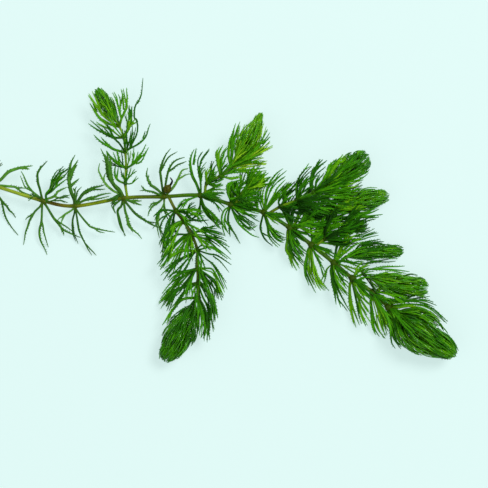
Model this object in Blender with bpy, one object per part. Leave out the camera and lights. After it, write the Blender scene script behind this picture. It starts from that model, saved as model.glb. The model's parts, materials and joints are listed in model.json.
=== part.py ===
"""A sprig of rigid hornwort, cut at one end and laid out flat. Metres, +Z up.

The main stem runs along +X from its cut end to its end bud. Whorls of thin leaves stand
around it and around its side shoots, and the lowest leaves rest on Z = 0. The origin is
under the middle of the sprig. Each stem, leaf whorl, end bud and the nut is an object.
"""

import math
import random

import bmesh
import bpy
import numpy as np

# Driving dimensions, in metres
SPRIG_LENGTH = 0.2192
MM = 0.001
GAP = 0.3 * MM  # between pieces that touch on the plant
FLOOR_GAP = 0.45 * MM  # from the floor to the middle of a leaf that lies on it
COLLAR_HALF = 0.5 * MM  # half the length of a whorl's collar along its stem
COLLAR_WALL = 0.45 * MM
LEAF_ROOT_HALF = 0.38 * MM  # half the thickness of a leaf near its node
LEAF_TIP_HALF = 0.16 * MM
SHOOT_SET_OFF = 1.9 * MM  # a side shoot leaves the stem this far past the node

# The plan grid: places are (across, down) in squares of a grid laid over the sprig
GRID_SPAN = 487.0  # squares from the cut end to the tip of the main bud
GRID = SPRIG_LENGTH / GRID_SPAN
GRID_MIDDLE = (213.3, 221.4)

# How a leaf grows
LEAF_STEPS = 12
BEND_POWER = 0.8  # below 1: a leaf bends most near its base
RISE_POWER = 1.2  # above 1: a leaf rises or sinks most near its tip
TAPER_POWER = 1.5  # above 1: a leaf thins most near its tip
UP_SQUASH = 0.7  # how far the laid sprig's upper leaves keep their height
SIDE_PRESS = 0.65  # how far a laid whorl's leaves turn level with the floor
TURN_SCATTER = 7  # degrees either way
LEAN_SCATTER = 8
LENGTH_SCATTER = (0.88, 1.1)
UPRIGHT = 0.6  # leaves that stand more level than this belong to a side of the whorl

# How finely the solids are made
CURVE_STEPS = 4  # points to each stretch of a smooth curve
STEM_STEPS = 2
STEM_SIDES = 6
BUD_SIDES = 8
SMALL_BUD_SIDES = 6
SMALL_BUD_RADIUS = 4  # millimetres

# How leaves are kept clear of the other pieces
BALL_SPACING = 1.0 * MM  # between the balls that stand for a solid
ROOT_REACH = 3.2 * MM  # leaves of one whorl may touch this near to their node
FAR = 1.0  # a gap that never matters

# Each shoot: the nodes on its stem, their heights in millimetres, its stem's radius, and
# for its first and last whorl the leaf length and the leaf's lean from the stem at base
# and tip. Its bud has the points of its axis, their heights, its largest radius, and the
# share of its length where it is widest, with the share of its width left at its tip.
SHOOTS = {
    "main": {
        "nodes": [
            (-9, 185), (42, 200.5), (74.6, 206), (123, 198), (164, 196.5),
            (200.5, 195.5), (231, 204.5), (264, 212.5), (290, 228), (311.5, 245),
            (334, 263), (352.5, 278.5), (373, 292.5), (388.5, 307),
        ],
        "heights": [6.5, 6.8, 7, 7, 7.2, 7.5, 7.8, 8, 8, 8, 8, 8, 8, 8.2],
        "stem_radius": (0.85, 1.0),
        "leaves": 8,
        "length": (20.0, 22.5),
        "lean_base": (95, 72),
        "lean_tip": (45, 14),
        "bud": [(392, 310.5), (423, 334), (456, 356)],
        "bud_heights": [8.3, 9.2, 8.6],
        "bud_radius": 8.9,
        "bud_shape": (0.4, 0.28),
    },
    "shoot_a": {
        "parent": 1,
        "nodes": [],
        "bud": [(46.5, 194.5), (57, 181), (70, 165.5)],
        "bud_heights": [9.5, 11, 12],
        "bud_radius": 1.8,
        "bud_shape": (0.5, 0.3),
    },
    "shoot_b": {
        "parent": 3,
        "nodes": [(125.5, 183.4), (126.4, 168.2), (125.5, 152.6), (123.8, 137.4), (119.3, 126.3)],
        "heights": [9, 9.5, 9.5, 9, 8.5],
        "stem_radius": (0.65, 0.5),
        "leaves": 7,
        "length": (13.0, 18.0),
        "lean_base": (100, 60),
        "lean_tip": (20, 8),
        "bud": [(117.5, 123.5), (107.5, 106.5), (95.5, 87)],
        "bud_heights": [8.2, 6.2, 4.4],
        "bud_radius": 3.3,
        "bud_shape": (0.5, 0.3),
    },
    "shoot_c": {
        "parent": 4,
        "nodes": [
            (176, 211), (183.8, 221.6), (191.4, 234), (197.3, 250), (197.6, 268.5),
            (197.6, 283), (197, 298),
        ],
        "heights": [7.5, 7.5, 7.5, 7.5, 7.4, 7.3, 7.2],
        "stem_radius": (0.75, 0.6),
        "leaves": 8,
        "length": (20.0, 21.0),
        "lean_base": (88, 60),
        "lean_tip": (42, 12),
        "bud": [(195.5, 302), (182.5, 330), (163, 361.5)],
        "bud_heights": [7.3, 7.4, 7.2],
        "bud_radius": 6.8,
        "bud_shape": (0.52, 0.34),
    },
    "shoot_d": {
        "parent": 5,
        "nodes": [(207.4, 182.8), (220.7, 176), (231, 167)],
        "heights": [9.5, 10.5, 10.5],
        "stem_radius": (0.7, 0.6),
        "leaves": 7,
        "length": (13.0, 18.0),
        "lean_base": (75, 50),
        "lean_tip": (25, 8),
        "bud": [(235, 164), (250, 140), (261.5, 111.5)],
        "bud_heights": [10.3, 8.6, 6],
        "bud_radius": 5.2,
        "bud_shape": (0.4, 0.06),
    },
    "shoot_e": {
        "parent": 6,
        "nodes": [(239, 196.5), (247, 189)],
        "heights": [11, 12],
        "stem_radius": (0.6, 0.5),
        "leaves": 7,
        "length": (13.0, 12.0),
        "lean_base": (70, 45),
        "lean_tip": (25, 10),
        "bud": [(249.5, 186.5), (258, 179), (267, 171)],
        "bud_heights": [12.2, 12.6, 12.6],
        "bud_radius": 1.9,
        "bud_shape": (0.4, 0.3),
    },
    "shoot_f": {
        "parent": 7,
        "nodes": [(281, 206.5), (297, 200.5), (313, 193), (327, 186)],
        "heights": [11, 13, 14, 14],
        "stem_radius": (0.75, 0.6),
        "leaves": 7,
        "length": (19.0, 19.0),
        "lean_base": (85, 50),
        "lean_tip": (30, 8),
        "bud": [(330, 184), (350, 170), (368.5, 155)],
        "bud_heights": [13.6, 10.8, 7.6],
        "bud_radius": 6.3,
        "bud_shape": (0.6, 0.42),
    },
    "shoot_g": {
        "parent": 8,
        "nodes": [(305, 221.5), (318.5, 215), (331, 208.5)],
        "heights": [7.5, 7, 6.5],
        "stem_radius": (0.7, 0.6),
        "leaves": 7,
        "length": (16.0, 16.0),
        "lean_base": (75, 45),
        "lean_tip": (20, 8),
        "bud": [(334.5, 207), (362, 200), (390, 195.5)],
        "bud_heights": [6.4, 6.2, 6],
        "bud_radius": 5.6,
        "bud_shape": (0.5, 0.35),
    },
    "shoot_h": {
        "parent": 9,
        "nodes": [(325, 238.5), (339, 231.5)],
        "heights": [9.5, 10],
        "stem_radius": (0.6, 0.5),
        "leaves": 7,
        "length": (15.0, 15.0),
        "lean_base": (65, 40),
        "lean_tip": (18, 8),
        "bud": [(342.5, 229.5), (355, 226), (367, 223)],
        "bud_heights": [10, 9.6, 9],
        "bud_radius": 3.2,
        "bud_shape": (0.6, 0.7),
    },
    "shoot_i": {
        "parent": 10,
        "nodes": [],
        "bud": [(345, 257), (372, 252.5), (405, 251)],
        "bud_heights": [8, 6.4, 5],
        "bud_radius": 3.4,
        "bud_shape": (0.45, 0.45),
    },
    "shoot_j": {
        "parent": 11,
        "nodes": [],
        "bud": [(366, 277), (398, 284), (428.5, 288)],
        "bud_heights": [10.5, 10, 8.5],
        "bud_radius": 5.7,
        "bud_shape": (0.55, 0.5),
    },
}

BUD_SECTIONS = [0.0, 0.13, 0.32, 0.52, 0.72, 0.9, 1.0]  # shares of a bud's length
BUD_FOOT = 0.14  # a bud's radius where it leaves its stem, as a share of its largest
NUT_OUTLINE = [(0.0, 0.25), (0.12, 0.7), (0.35, 1.0), (0.6, 0.95), (0.85, 0.5), (1.0, 0.16)]
NUT_RADIUS = 1.7 * MM
NUT_AXIS = [(164.9, 192.5), (170.8, 185)]
NUT_HEIGHTS = [9.6, 10.4]
NUT_SPINE = [(172.2, 182.4), (172.4, 180.6), (170.9, 178.4)]
NUT_SPINE_HEIGHTS = [10.7, 11, 11.2]
NUT_SPINE_RADII = [0.2 * MM, 0.16 * MM, 0.08 * MM]
NUT_SIDES = 8
CUT_END = (-30, 182)
CUT_END_HEIGHT = 6.3

# Leaves that show one by one in the plan: how much higher a leaf's tip is than its node,
# in millimetres, and its plan
OPEN_WHORLS = {
    "main_whorl_01": [
        (3, [(0, 180), (9, 171.5), (24, 167), (33, 166)]),
        (-5, [(2, 185.5), (14, 187), (24, 187.5)]),
        (-6.2, [(-5, 192), (0, 200), (7, 209), (13.5, 217)]),
        (5, [(-7, 176), (-4, 167), (3, 160.5)]),
        (2, [(-14, 178), (-25, 168), (-30, 155)]),
        (-6.2, [(-14, 192), (-25, 203), (-30, 217)]),
        (3, [(-11, 196), (-13, 212), (-9, 229)]),
        (9, [(-12, 184), (-19, 180), (-27, 181)]),
    ],
    "main_whorl_02": [
        (4, [(40, 190), (37.5, 180), (39, 171), (47.5, 161.5)]),
        (2, [(38, 196), (31, 190.5), (26.5, 183), (21.5, 171)]),
        (-6.2, [(40, 206), (33, 213), (25, 229), (21.5, 245)]),
        (-6.6, [(41.5, 208), (40.5, 222), (38.3, 229), (39, 239), (44.5, 254.5)]),
        (-5, [(46, 206), (53, 218), (60, 227), (66, 232), (79, 237.5)]),
        (6, [(47, 199), (54, 196.5), (59, 192), (68, 188)]),
        (9, [(46, 202), (56, 200), (63, 199), (72, 201)]),
        (8, [(40, 198), (35, 196), (30, 198)]),
    ],
    "main_whorl_03": [
        (3, [(74.5, 201), (71.4, 193), (69.4, 184), (69.4, 173.7), (71.4, 163.5), (75.5, 155.3)]),
        (9, [(76, 200), (77, 192), (81, 186.5)]),
        (4, [(78, 201), (83, 194), (90, 189.5), (104.7, 185)]),
        (7, [(83, 201), (97.7, 196.3), (112, 193.5)]),
        (6, [(72.5, 209.6), (65.4, 214.6), (58.8, 220)]),
        (-6.6, [(74, 213), (71.8, 221), (72.5, 234), (76, 244)]),
        (-6.2, [(76, 214), (78.8, 232), (85, 246), (90, 255.3)]),
        (-2, [(77, 211), (86.5, 223), (94, 228), (114.4, 232)]),
    ],
    "main_whorl_04": [
        (1, [(118.5, 193.5), (112, 190), (104, 181.5), (99, 172), (98.7, 168), (100, 163)]),
        (4, [(121, 193), (116, 188), (112, 182), (108, 174), (106.5, 162), (101.5, 149)]),
        (8, [(120, 190), (113, 183), (110.5, 172), (110, 162), (107, 153)]),
        (-6.6, [(121, 206), (117, 211), (119.4, 226), (124.4, 235.4)]),
        (-6.2, [(124, 205), (125.5, 214), (130, 226.5), (141, 238.5)]),
        (-2, [(127, 204), (137.8, 216), (153, 225), (162, 228)]),
        (3, [(130, 201), (144, 203.6)]),
        (6, [(118, 202), (113, 206), (115, 212)]),
    ],
    "main_whorl_05": [
        (2, [(158, 190), (150.4, 184), (147, 176), (147.5, 168.5)]),
        (6, [(155, 193), (146, 190.5), (140.5, 191.3)]),
        (3, [(162, 186), (160.7, 169.5), (165, 157), (170.7, 149)]),
        (7, [(165.7, 184), (169, 170), (176, 161), (184.8, 158)]),
        (4, [(172, 189), (178, 180), (184, 176), (190, 174)]),
        (2, [(160, 201), (151, 208), (147.7, 216)]),
        (-6.2, [(164, 203), (161, 209), (158, 216), (157, 224), (160.5, 240)]),
        (-6.6, [(164, 206), (166, 213), (171, 222)]),
    ],
    "main_whorl_06": [
        (3, [(199, 191), (196, 183), (192, 175), (190.5, 164), (192, 155), (194, 150)]),
        (7, [(201, 187), (199.5, 170), (199.5, 163), (201.5, 158), (208, 149)]),
        (9, [(201, 178), (202, 172), (207, 168)]),
        (5, [(193, 198), (184, 202), (177, 211)]),
        (-4, [(203, 203), (205, 207), (212, 213), (218, 220), (227, 233)]),
    ],
    "main_whorl_07": [
        (-4, [(229, 207), (224, 210.5), (221.5, 219), (224, 227), (229, 234)]),
        (-7.5, [(229.5, 209), (228, 217), (229, 224), (238, 238.5)]),
        (1, [(232, 209), (234, 214), (238, 222), (250, 234), (259, 237.5)]),
        (3, [(234, 208.5), (239, 214), (245, 219), (257, 229.5)]),
        (5, [(236, 208), (242, 212), (254, 219), (259, 222)]),
        (1, [(230, 199), (228.5, 191), (230.5, 184), (234, 180)]),
    ],
    "main_whorl_08": [
        (-7.5, [(262.5, 217), (260.5, 226), (261, 231), (265, 239), (272.5, 246)]),
        (-4, [(265, 218), (267.5, 227), (270, 237), (280, 247)]),
        (1, [(266, 220), (269, 226), (277, 237), (282, 241), (288, 240)]),
        (3, [(267, 219), (271, 228), (280, 236.5), (285, 238.5)]),
        (3, [(265, 206), (266, 194), (269, 184), (275, 175), (283, 169)]),
    ],
    "main_whorl_09": [
        (-7.5, [(287.5, 232), (287.5, 240), (286.7, 249), (293, 259), (300, 271)]),
        (-4, [(290, 234), (290.5, 243), (292, 250), (305, 265)]),
        (1, [(290, 236), (291.5, 243), (296, 251), (304, 259.5)]),
        (3, [(292, 236), (295, 242), (299, 247), (306, 255)]),
        (1, [(289, 222), (286, 212), (285, 204), (288, 195)]),
    ],
    "main_whorl_10": [
        (-7.5, [(308, 250), (307, 256), (305, 271), (309.5, 286)]),
        (-4, [(309, 252), (309.5, 258), (309, 268), (311.5, 276), (318, 287)]),
        (1, [(311, 253), (312, 260), (315, 274), (329, 295)]),
        (3, [(312, 253), (313, 262), (316, 276), (323, 288)]),
        (5, [(315, 255), (319, 262), (326, 278)]),
    ],
    "main_whorl_11": [
        (-7.5, [(328, 268), (326, 273), (324, 279), (322, 287)]),
        (-6, [(331, 270), (332, 276), (336, 293), (340, 311.5)]),
        (1, [(333, 273), (334, 281), (341, 296), (350, 311)]),
        (3, [(335, 277), (339, 285), (349, 296)]),
        (5, [(337, 272), (342, 279), (350, 288)]),
    ],
    "main_whorl_12": [
        (-7.5, [(350, 285), (350, 293), (352, 307), (360, 330)]),
        (-4, [(353, 286), (355, 294), (359, 311), (366, 330)]),
        (1, [(355, 290), (358, 298), (363, 313), (371, 325)]),
        (3, [(356, 290), (360, 297), (372, 311)]),
        (5, [(358, 288), (364, 296), (372, 304)]),
    ],
    "main_whorl_13": [
        (-7.5, [(371, 300), (372, 310), (376, 326), (387, 342.5)]),
        (-4, [(375, 301), (379, 311), (384, 327), (390, 340)]),
        (1, [(377, 303), (383, 311), (388, 320), (390, 328)]),
        (3, [(380, 305), (386, 315), (392, 328), (396, 342)]),
    ],
    "main_whorl_14": [
        (-7.5, [(388, 314), (391, 330), (395, 343), (403, 354.5)]),
        (-6, [(390, 316), (394, 331), (400, 343), (408, 354)]),
        (-1, [(393, 320), (400, 337), (410, 351.5)]),
        (3, [(393, 303.5), (405, 301.5), (414, 301), (425, 302.5), (437, 308)]),
        (5, [(396, 305), (412, 304), (430, 308), (446, 325)]),
    ],
    "shoot_b_whorl_1": [
        (0, [(121, 182), (117, 179), (115, 172), (116, 163)]),
        (3, [(130, 184), (134, 182), (139, 178.5)]),
        (5, [(127.5, 180), (131, 174), (134, 167)]),
    ],
    "shoot_b_whorl_2": [
        (1, [(121, 165.5), (117, 163), (111, 157), (107.5, 151.5)]),
        (-7, [(120, 167), (112, 164), (101, 158)]),
        (2, [(131, 166), (134, 164), (140, 159), (145, 154), (149, 148)]),
        (6, [(128.5, 164), (130, 158), (131, 151)]),
    ],
    "shoot_b_whorl_3": [
        (1, [(119, 151), (113, 149), (101, 141.5), (94.5, 135.5)]),
        (4, [(120, 144), (116, 140), (108, 129), (104, 123)]),
        (2, [(130, 149), (139, 144), (146, 137), (150.5, 124.5)]),
        (4, [(131, 147), (136.5, 136), (138, 130), (134.5, 118.5), (135.5, 107.5), (143.3, 79.5)]),
        (6, [(130, 148), (132, 143), (134, 132), (134.5, 124)]),
    ],
    "shoot_b_whorl_4": [
        (1, [(118, 138), (112, 137), (101, 132), (89, 124.5)]),
        (4, [(119, 136), (113, 131), (106, 127), (96, 120.5)]),
        (3, [(127, 131.5), (130, 126), (131.5, 118), (132.5, 107)]),
        (5, [(128, 131), (131, 124), (134.5, 119.5), (138, 118.5)]),
        (-7, [(127, 130), (127.5, 122), (127, 113)]),
    ],
    "shoot_b_whorl_5": [
        (0, [(112, 125), (104, 121), (98, 116), (90, 103.5)]),
        (3, [(113, 123), (106, 118), (101, 111), (91, 92)]),
        (2, [(121.5, 119), (120, 113), (118.5, 100), (115.5, 91.5)]),
        (4, [(121.5, 119), (127, 108), (126, 102), (124.3, 90)]),
    ],
    "shoot_c_whorl_1": [
        (2, [(178, 208), (182, 203), (187, 199.5)]),
        (4, [(180, 210), (185, 212), (193, 221)]),
        (5, [(186, 213), (189, 208), (198, 201.5)]),
        (1, [(172, 210.5), (165, 210), (159, 212), (154.5, 222)]),
        (-7, [(171, 212), (164, 217), (160, 221), (154, 230)]),
    ],
    "shoot_c_whorl_2": [
        (3, [(187, 221), (194, 220), (202, 221), (209, 220)]),
        (5, [(188, 213), (192, 210), (203, 210)]),
        (4, [(180, 222), (174, 226), (171, 232), (167, 239)]),
        (-5, [(178, 222), (168, 228), (163, 238), (159.5, 256)]),
        (2, [(178, 224), (170, 231), (163, 247)]),
    ],
    "shoot_c_whorl_3": [
        (3, [(194, 233), (200, 230.5), (206, 228.5), (222, 231.5)]),
        (5, [(196, 232), (203, 232), (209, 236), (231, 245.5)]),
        (0, [(194, 235.5), (201, 238), (214, 239.5), (231, 254)]),
        (-5, [(198, 238), (203, 242), (208, 247)]),
        (2, [(185, 234.5), (176, 235), (168, 243), (160, 257)]),
    ],
    "shoot_c_whorl_4": [
        (3, [(200, 249.5), (206, 248), (212, 247.5), (228, 258)]),
        (6, [(198.5, 247.5), (203, 245), (208, 248)]),
        (0, [(201, 251.5), (209, 254), (218, 256), (231, 265)]),
        (-7, [(200, 253.5), (206, 259), (214, 266), (226, 287)]),
        (3, [(194, 251), (184, 250.5), (175, 254), (160.5, 266)]),
    ],
    "shoot_c_whorl_5": [
        (3, [(200, 268), (207, 268.5), (213, 270), (224, 289)]),
        (0, [(201, 270.5), (209, 276), (215, 282), (224, 304)]),
        (-7, [(201, 272), (205, 277), (212, 288), (216, 300)]),
        (3, [(194, 269.5), (184, 272), (174, 275), (165, 283)]),
        (-5, [(190, 272), (182, 278), (170, 290), (159, 307)]),
    ],
    "shoot_c_whorl_6": [
        (2, [(200, 282.5), (206, 289), (213, 300), (217, 323)]),
        (4, [(201, 284), (208, 294), (212, 306), (212.5, 323)]),
        (-5, [(199, 287), (203, 298), (208, 309), (211, 336)]),
        (3, [(194, 283.5), (184, 287), (175, 293), (166, 311)]),
        (-5, [(187, 286), (180, 289), (172, 292), (159, 307)]),
    ],
    "shoot_c_whorl_7": [
        (2, [(194, 298), (186, 298.5), (178, 303), (162.5, 324.5)]),
        (2, [(200, 301), (203, 311), (206, 322), (205, 343)]),
        (4, [(202, 303), (206, 312), (208, 322), (205.5, 341)]),
    ],
    "shoot_d_whorl_2": [
        (1, [(219.5, 171), (218, 165), (217.5, 157), (218.5, 152), (223.5, 143)]),
        (3, [(221, 172), (221.5, 164), (224, 154), (229, 147)]),
        (4, [(223, 169), (226, 166), (230, 164)]),
        (2, [(224, 177), (230, 178.5), (236, 178), (243, 176)]),
    ],
    "shoot_d_whorl_3": [
        (1, [(230, 163), (228.5, 155), (229.5, 145), (231.5, 137), (236, 124)]),
        (3, [(231, 162), (232, 154), (233, 143), (236, 133), (238, 126)]),
        (0, [(236, 163), (240, 154), (241, 142), (246, 124)]),
        (2, [(235, 165), (245, 160), (255, 155), (272, 144.5)]),
        (4, [(235, 164), (247, 156), (258, 147), (268, 134), (270, 128)]),
    ],
    "shoot_f_whorl_1": [
        (2, [(284, 203), (283, 197), (285, 190), (295, 181)]),
        (4, [(285, 204), (287, 196), (293, 189), (299, 186)]),
        (-2, [(284, 211), (289, 216), (297, 219), (308, 221)]),
        (-7, [(283, 212), (286, 217), (289, 222), (296, 226)]),
        (1, [(287, 209), (294, 212), (302, 213), (314, 213)]),
    ],
    "shoot_f_whorl_2": [
        (1, [(296, 196), (296, 187), (299, 178), (308, 164)]),
        (3, [(299, 192), (300, 184), (303, 177), (311, 169)]),
        (5, [(300, 195), (306, 188), (311, 184)]),
        (-5, [(299, 206), (304, 212), (312, 217), (322, 221)]),
        (-1, [(301, 205), (308, 210), (318, 213), (330, 215)]),
    ],
    "shoot_f_whorl_3": [
        (1, [(311, 189), (310, 182), (312, 175), (315, 169), (324.5, 160.5)]),
        (3, [(315, 187), (316, 182), (323, 172)]),
        (-5, [(315, 198), (320, 204), (328, 209), (340, 212)]),
        (0, [(317, 197), (325, 201), (335, 204), (348, 205)]),
        (2, [(319, 195), (328, 197), (338, 198), (352, 197)]),
    ],
    "shoot_f_whorl_4": [
        (1, [(323, 181), (327, 173), (330, 166), (339, 158)]),
        (3, [(328, 180), (331, 172), (336, 165), (348, 155)]),
        (-5, [(331, 190), (338, 196), (346, 200), (357, 202)]),
        (0, [(333, 189), (342, 192), (351, 193), (361, 191)]),
        (2, [(334, 187), (344, 187), (353, 185), (362, 181)]),
    ],
    "shoot_h_whorl_2": [
        (1, [(345, 223), (356, 216.5), (370, 214.5), (381, 211.5)]),
        (2, [(350, 226), (362, 222.5), (370, 219), (380, 217)]),
        (0, [(352, 232), (362, 230), (368, 226), (373, 223)]),
        (-2, [(345, 239), (358, 239.5), (368, 236.5), (381, 233.5)]),
    ],
}

# Plain colours: red, green, blue
LEAF_GREEN = (0.045, 0.16, 0.01)
BUD_GREEN = (0.06, 0.21, 0.015)
STEM_OLIVE = (0.16, 0.2, 0.04)
NUT_BROWN = (0.12, 0.09, 0.02)

# Ways to move a leaf that would run into another piece: lifts of its tip in millimetres,
# swings in degrees in the plan, and shares of its length that it is cut back to
LIFTS = [0, 1.2, -1.2, 2.4, -2.4, 3.6, -3.6, 5, -5, 6.5, 8]
SWINGS = [0, 5, -5, 10, -10, 16, -16]
SHORTER = [0.7, 0.5, 0.35, 0.22]
LEAF_CLEARANCE = 0.2 * MM

# A leaf's solid: square sections at shares of its length, one more in the oldest whorls
OLD_SECTIONS = [0.16, 0.52, 1.0]
YOUNG_SECTIONS = [0.4, 1.0]
OLDEST_WHORLS = [f"main_whorl_{number:02d}" for number in range(1, 6)]
CORNER = math.sqrt(2)  # from half the width of a section to its corner
ROOT_PART = 0.25  # the share of a leaf that shows which way it sets out
ROOT_SPREAD = 1.2  # how far leaves keep the direction of their roots
FAN = 0.3  # how far a leaf that points ahead is rooted above one that points back


def clear_scene():
    for item in list(bpy.data.objects):
        bpy.data.objects.remove(item)


def plain_material(name, colour, roughness):
    material = bpy.data.materials.new(name)
    material.use_nodes = True
    shader = material.node_tree.nodes["Principled BSDF"]
    shader.inputs["Base Color"].default_value = (*colour, 1.0)
    shader.inputs["Roughness"].default_value = roughness
    shader.inputs["Metallic"].default_value = 0.0
    return material


def place(plan, height):
    """The point over a place on the plan grid, at a height in millimetres."""
    across, down = plan
    x = (across - GRID_MIDDLE[0]) * GRID
    y = (GRID_MIDDLE[1] - down) * GRID
    return np.array([x, y, height * MM])


def unit(vector):
    return vector / np.linalg.norm(vector)


def smooth_path(points, steps):
    """Points of a smooth curve through the given ones, a few to each stretch."""
    ends = [2 * points[0] - points[1], *points, 2 * points[-1] - points[-2]]
    path = []
    for before, start, end, after in zip(ends, ends[1:], ends[2:], ends[3:]):
        for step in range(steps):
            t = step / steps
            bend = 2 * before - 5 * start + 4 * end - after
            twist = 3 * start - before - 3 * end + after
            path.append(start + 0.5 * t * (end - before + t * (bend + t * twist)))
    return np.array([*path, points[-1]])


def lengths_along(path):
    steps = np.linalg.norm(np.diff(path, axis=0), axis=1)
    return np.concatenate([[0.0], np.cumsum(steps)])


def points_at(path, shares):
    """Points at the given shares of a path's length."""
    run = lengths_along(path)
    wanted = np.array(shares) * run[-1]
    return np.array([np.interp(wanted, run, path[:, axis]) for axis in range(3)]).T


def across_axes(along):
    """Two directions across a stem: level with the floor, and away from it."""
    side = unit(np.array([-along[1], along[0], 0.0]))
    return side, np.cross(along, side)


def settled(point, node_height):
    """Where a point of a leaf comes to lie: pressed down above its node, on the floor below."""
    rise = point[2] - node_height
    if rise > 0:
        height = node_height + UP_SQUASH * rise
    else:
        room = node_height - FLOOR_GAP
        height = node_height - room * math.tanh(-rise / room)
    return np.array([point[0], point[1], height])


def grown_leaf(node, along, turn, length, lean_base, lean_tip):
    """Centreline of a leaf that bends towards the shoot's tip, with angles in degrees."""
    side, up = across_axes(along)
    outwards = math.cos(math.radians(turn)) * side + math.sin(math.radians(turn)) * up
    points = [node]
    for step in range(LEAF_STEPS):
        share = ((step + 0.5) / LEAF_STEPS) ** BEND_POWER
        lean = math.radians(lean_base + (lean_tip - lean_base) * share)
        heading = math.sin(lean) * outwards + math.cos(lean) * along
        points.append(points[-1] + heading * length * MM / LEAF_STEPS)
    return np.array([settled(point, node[2]) for point in points])


def open_leaf(node, plan, rise):
    """Centreline of a leaf whose plan is given, from its node to its tip."""
    corners = [node] + [place(spot, 0.0) for spot in plan]
    run = lengths_along(np.array([corner[:2] for corner in corners]))
    for corner, share in zip(corners[1:], run[1:] / run[-1]):
        corner[2] = node[2] + rise * MM * share**RISE_POWER
    path = smooth_path(corners, CURVE_STEPS)
    path[:, 2] = np.maximum(path[:, 2], FLOOR_GAP)
    return path


def between(pair, share):
    return pair[0] + (pair[1] - pair[0]) * share


def balls_along(path, radii):
    """Balls that fill a tube along a path."""
    run = lengths_along(path)
    count = max(2, int(run[-1] / BALL_SPACING) + 1)
    shares = np.linspace(0, 1, count)
    return points_at(path, shares), np.interp(shares * run[-1], run, radii)


class Room:
    """The space that the pieces fill, as balls along each of them."""

    def __init__(self):
        self.centres = np.zeros((0, 3))
        self.radii = np.zeros(0)
        self.owners = np.array([], dtype=str)

    def fill(self, owner, path, radii):
        centres, sizes = balls_along(path, radii)
        self.centres = np.vstack([self.centres, centres])
        self.radii = np.concatenate([self.radii, sizes])
        self.owners = np.concatenate([self.owners, [owner] * len(centres)])

    def gap(self, owner, node, path, radii):
        """The smallest gap from a leaf to other pieces, and to its own whorl past its root."""
        centres, sizes = balls_along(path, radii)
        apart = centres[:, None, :] - self.centres[None, :, :]
        gaps = np.sqrt((apart**2).sum(axis=2)) - sizes[:, None] - self.radii[None, :]
        own = self.owners == owner
        own_root = np.linalg.norm(self.centres - node, axis=1) < ROOT_REACH
        root = np.linalg.norm(centres - node, axis=1) < ROOT_REACH
        ignored = own[None, :] & (own_root[None, :] | root[:, None])
        return np.where(ignored, FAR, gaps).min()


def moved_leaf(path, lift, swing):
    """A leaf with its tip lifted and swung round its node."""
    node = path[0]
    share = lengths_along(path) / lengths_along(path)[-1]
    angle = math.radians(swing)
    flat = path - node
    moved = path.copy()
    moved[:, 0] = node[0] + math.cos(angle) * flat[:, 0] - math.sin(angle) * flat[:, 1]
    moved[:, 1] = node[1] + math.sin(angle) * flat[:, 0] + math.cos(angle) * flat[:, 1]
    moved[:, 2] = np.maximum(path[:, 2] + lift * MM * np.sqrt(share), FLOOR_GAP)
    return moved


def moves_of_a_leaf():
    """Lifts, swings and shares of its length, mildest first."""
    moves = [(lift, swing, 1.0) for lift in LIFTS for swing in SWINGS]
    moves.sort(key=lambda move: abs(move[0]) / LIFTS[1] + abs(move[1]) / SWINGS[1])
    return moves + [(lift, swing, short) for short in SHORTER for lift, swing, _ in moves]


def fitted_leaf(room, owner, node, root, path, sections):
    """The points and half widths of a leaf's solid, moved as little as keeps it clear."""
    best = None
    for lift, swing, share in moves_of_a_leaf():
        leaf = moved_leaf(path[: max(3, round(share * len(path)))], lift, swing)
        points = np.vstack([root, points_at(leaf, sections)])
        points[1] += ROOT_SPREAD * (root - node)
        points[1, 2] = max(points[1, 2], FLOOR_GAP)
        halves = between((LEAF_ROOT_HALF, LEAF_TIP_HALF), np.array([0, *sections]) ** TAPER_POWER)
        gap = room.gap(owner, node, points, halves * CORNER)
        if best is None or gap > best[0]:
            best = (gap, points, halves)
        if gap > LEAF_CLEARANCE:
            break
    return best[1:]


def ring_points(centre, across, thick, radius, sides):
    angles = [2 * math.pi * k / sides for k in range(sides)]
    return [centre + radius * (math.cos(a) * across + math.sin(a) * thick) for a in angles]


def headings(path):
    ahead = np.gradient(path, axis=0)
    return [unit(step) for step in ahead]


def tube_mesh(name, path, radii, sides):
    """A closed round tube along a path, with flat ends."""
    shape = bmesh.new()
    across, thick = across_axes(headings(path)[0])
    rings = []
    for centre, heading, radius in zip(path, headings(path), radii):
        across = unit(across - across.dot(heading) * heading)
        thick = np.cross(heading, across)
        corners = ring_points(centre, across, thick, radius, sides)
        rings.append([shape.verts.new(corner) for corner in corners])
    for low, high in zip(rings, rings[1:]):
        for k in range(sides):
            n = (k + 1) % sides
            shape.faces.new([low[k], low[n], high[n], high[k]])
    shape.faces.new(rings[0][::-1])
    shape.faces.new(rings[-1])
    return finished_mesh(name, shape)


def sectors(node, along, leaves):
    """Evenly spaced angles around the stem, one for each leaf, so that no two leaves cross.

    Of the leaves on one side, those that point ahead are rooted above those that point back.
    """
    side, up = across_axes(along)
    turns = []
    for leaf in leaves:
        away = points_at(leaf, [ROOT_PART])[0] - node
        turns.append(math.atan2(away.dot(up) + FAN * away.dot(along), away.dot(side)))
    ranks = np.argsort(np.argsort(turns))
    width = 2 * math.pi / len(leaves)
    offsets = np.array(turns) - ranks * width
    start = math.atan2(np.sin(offsets).sum(), np.cos(offsets).sum())
    return start + ranks * width


def ray(along, angle):
    side, up = across_axes(along)
    return math.cos(angle) * side + math.sin(angle) * up


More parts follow.
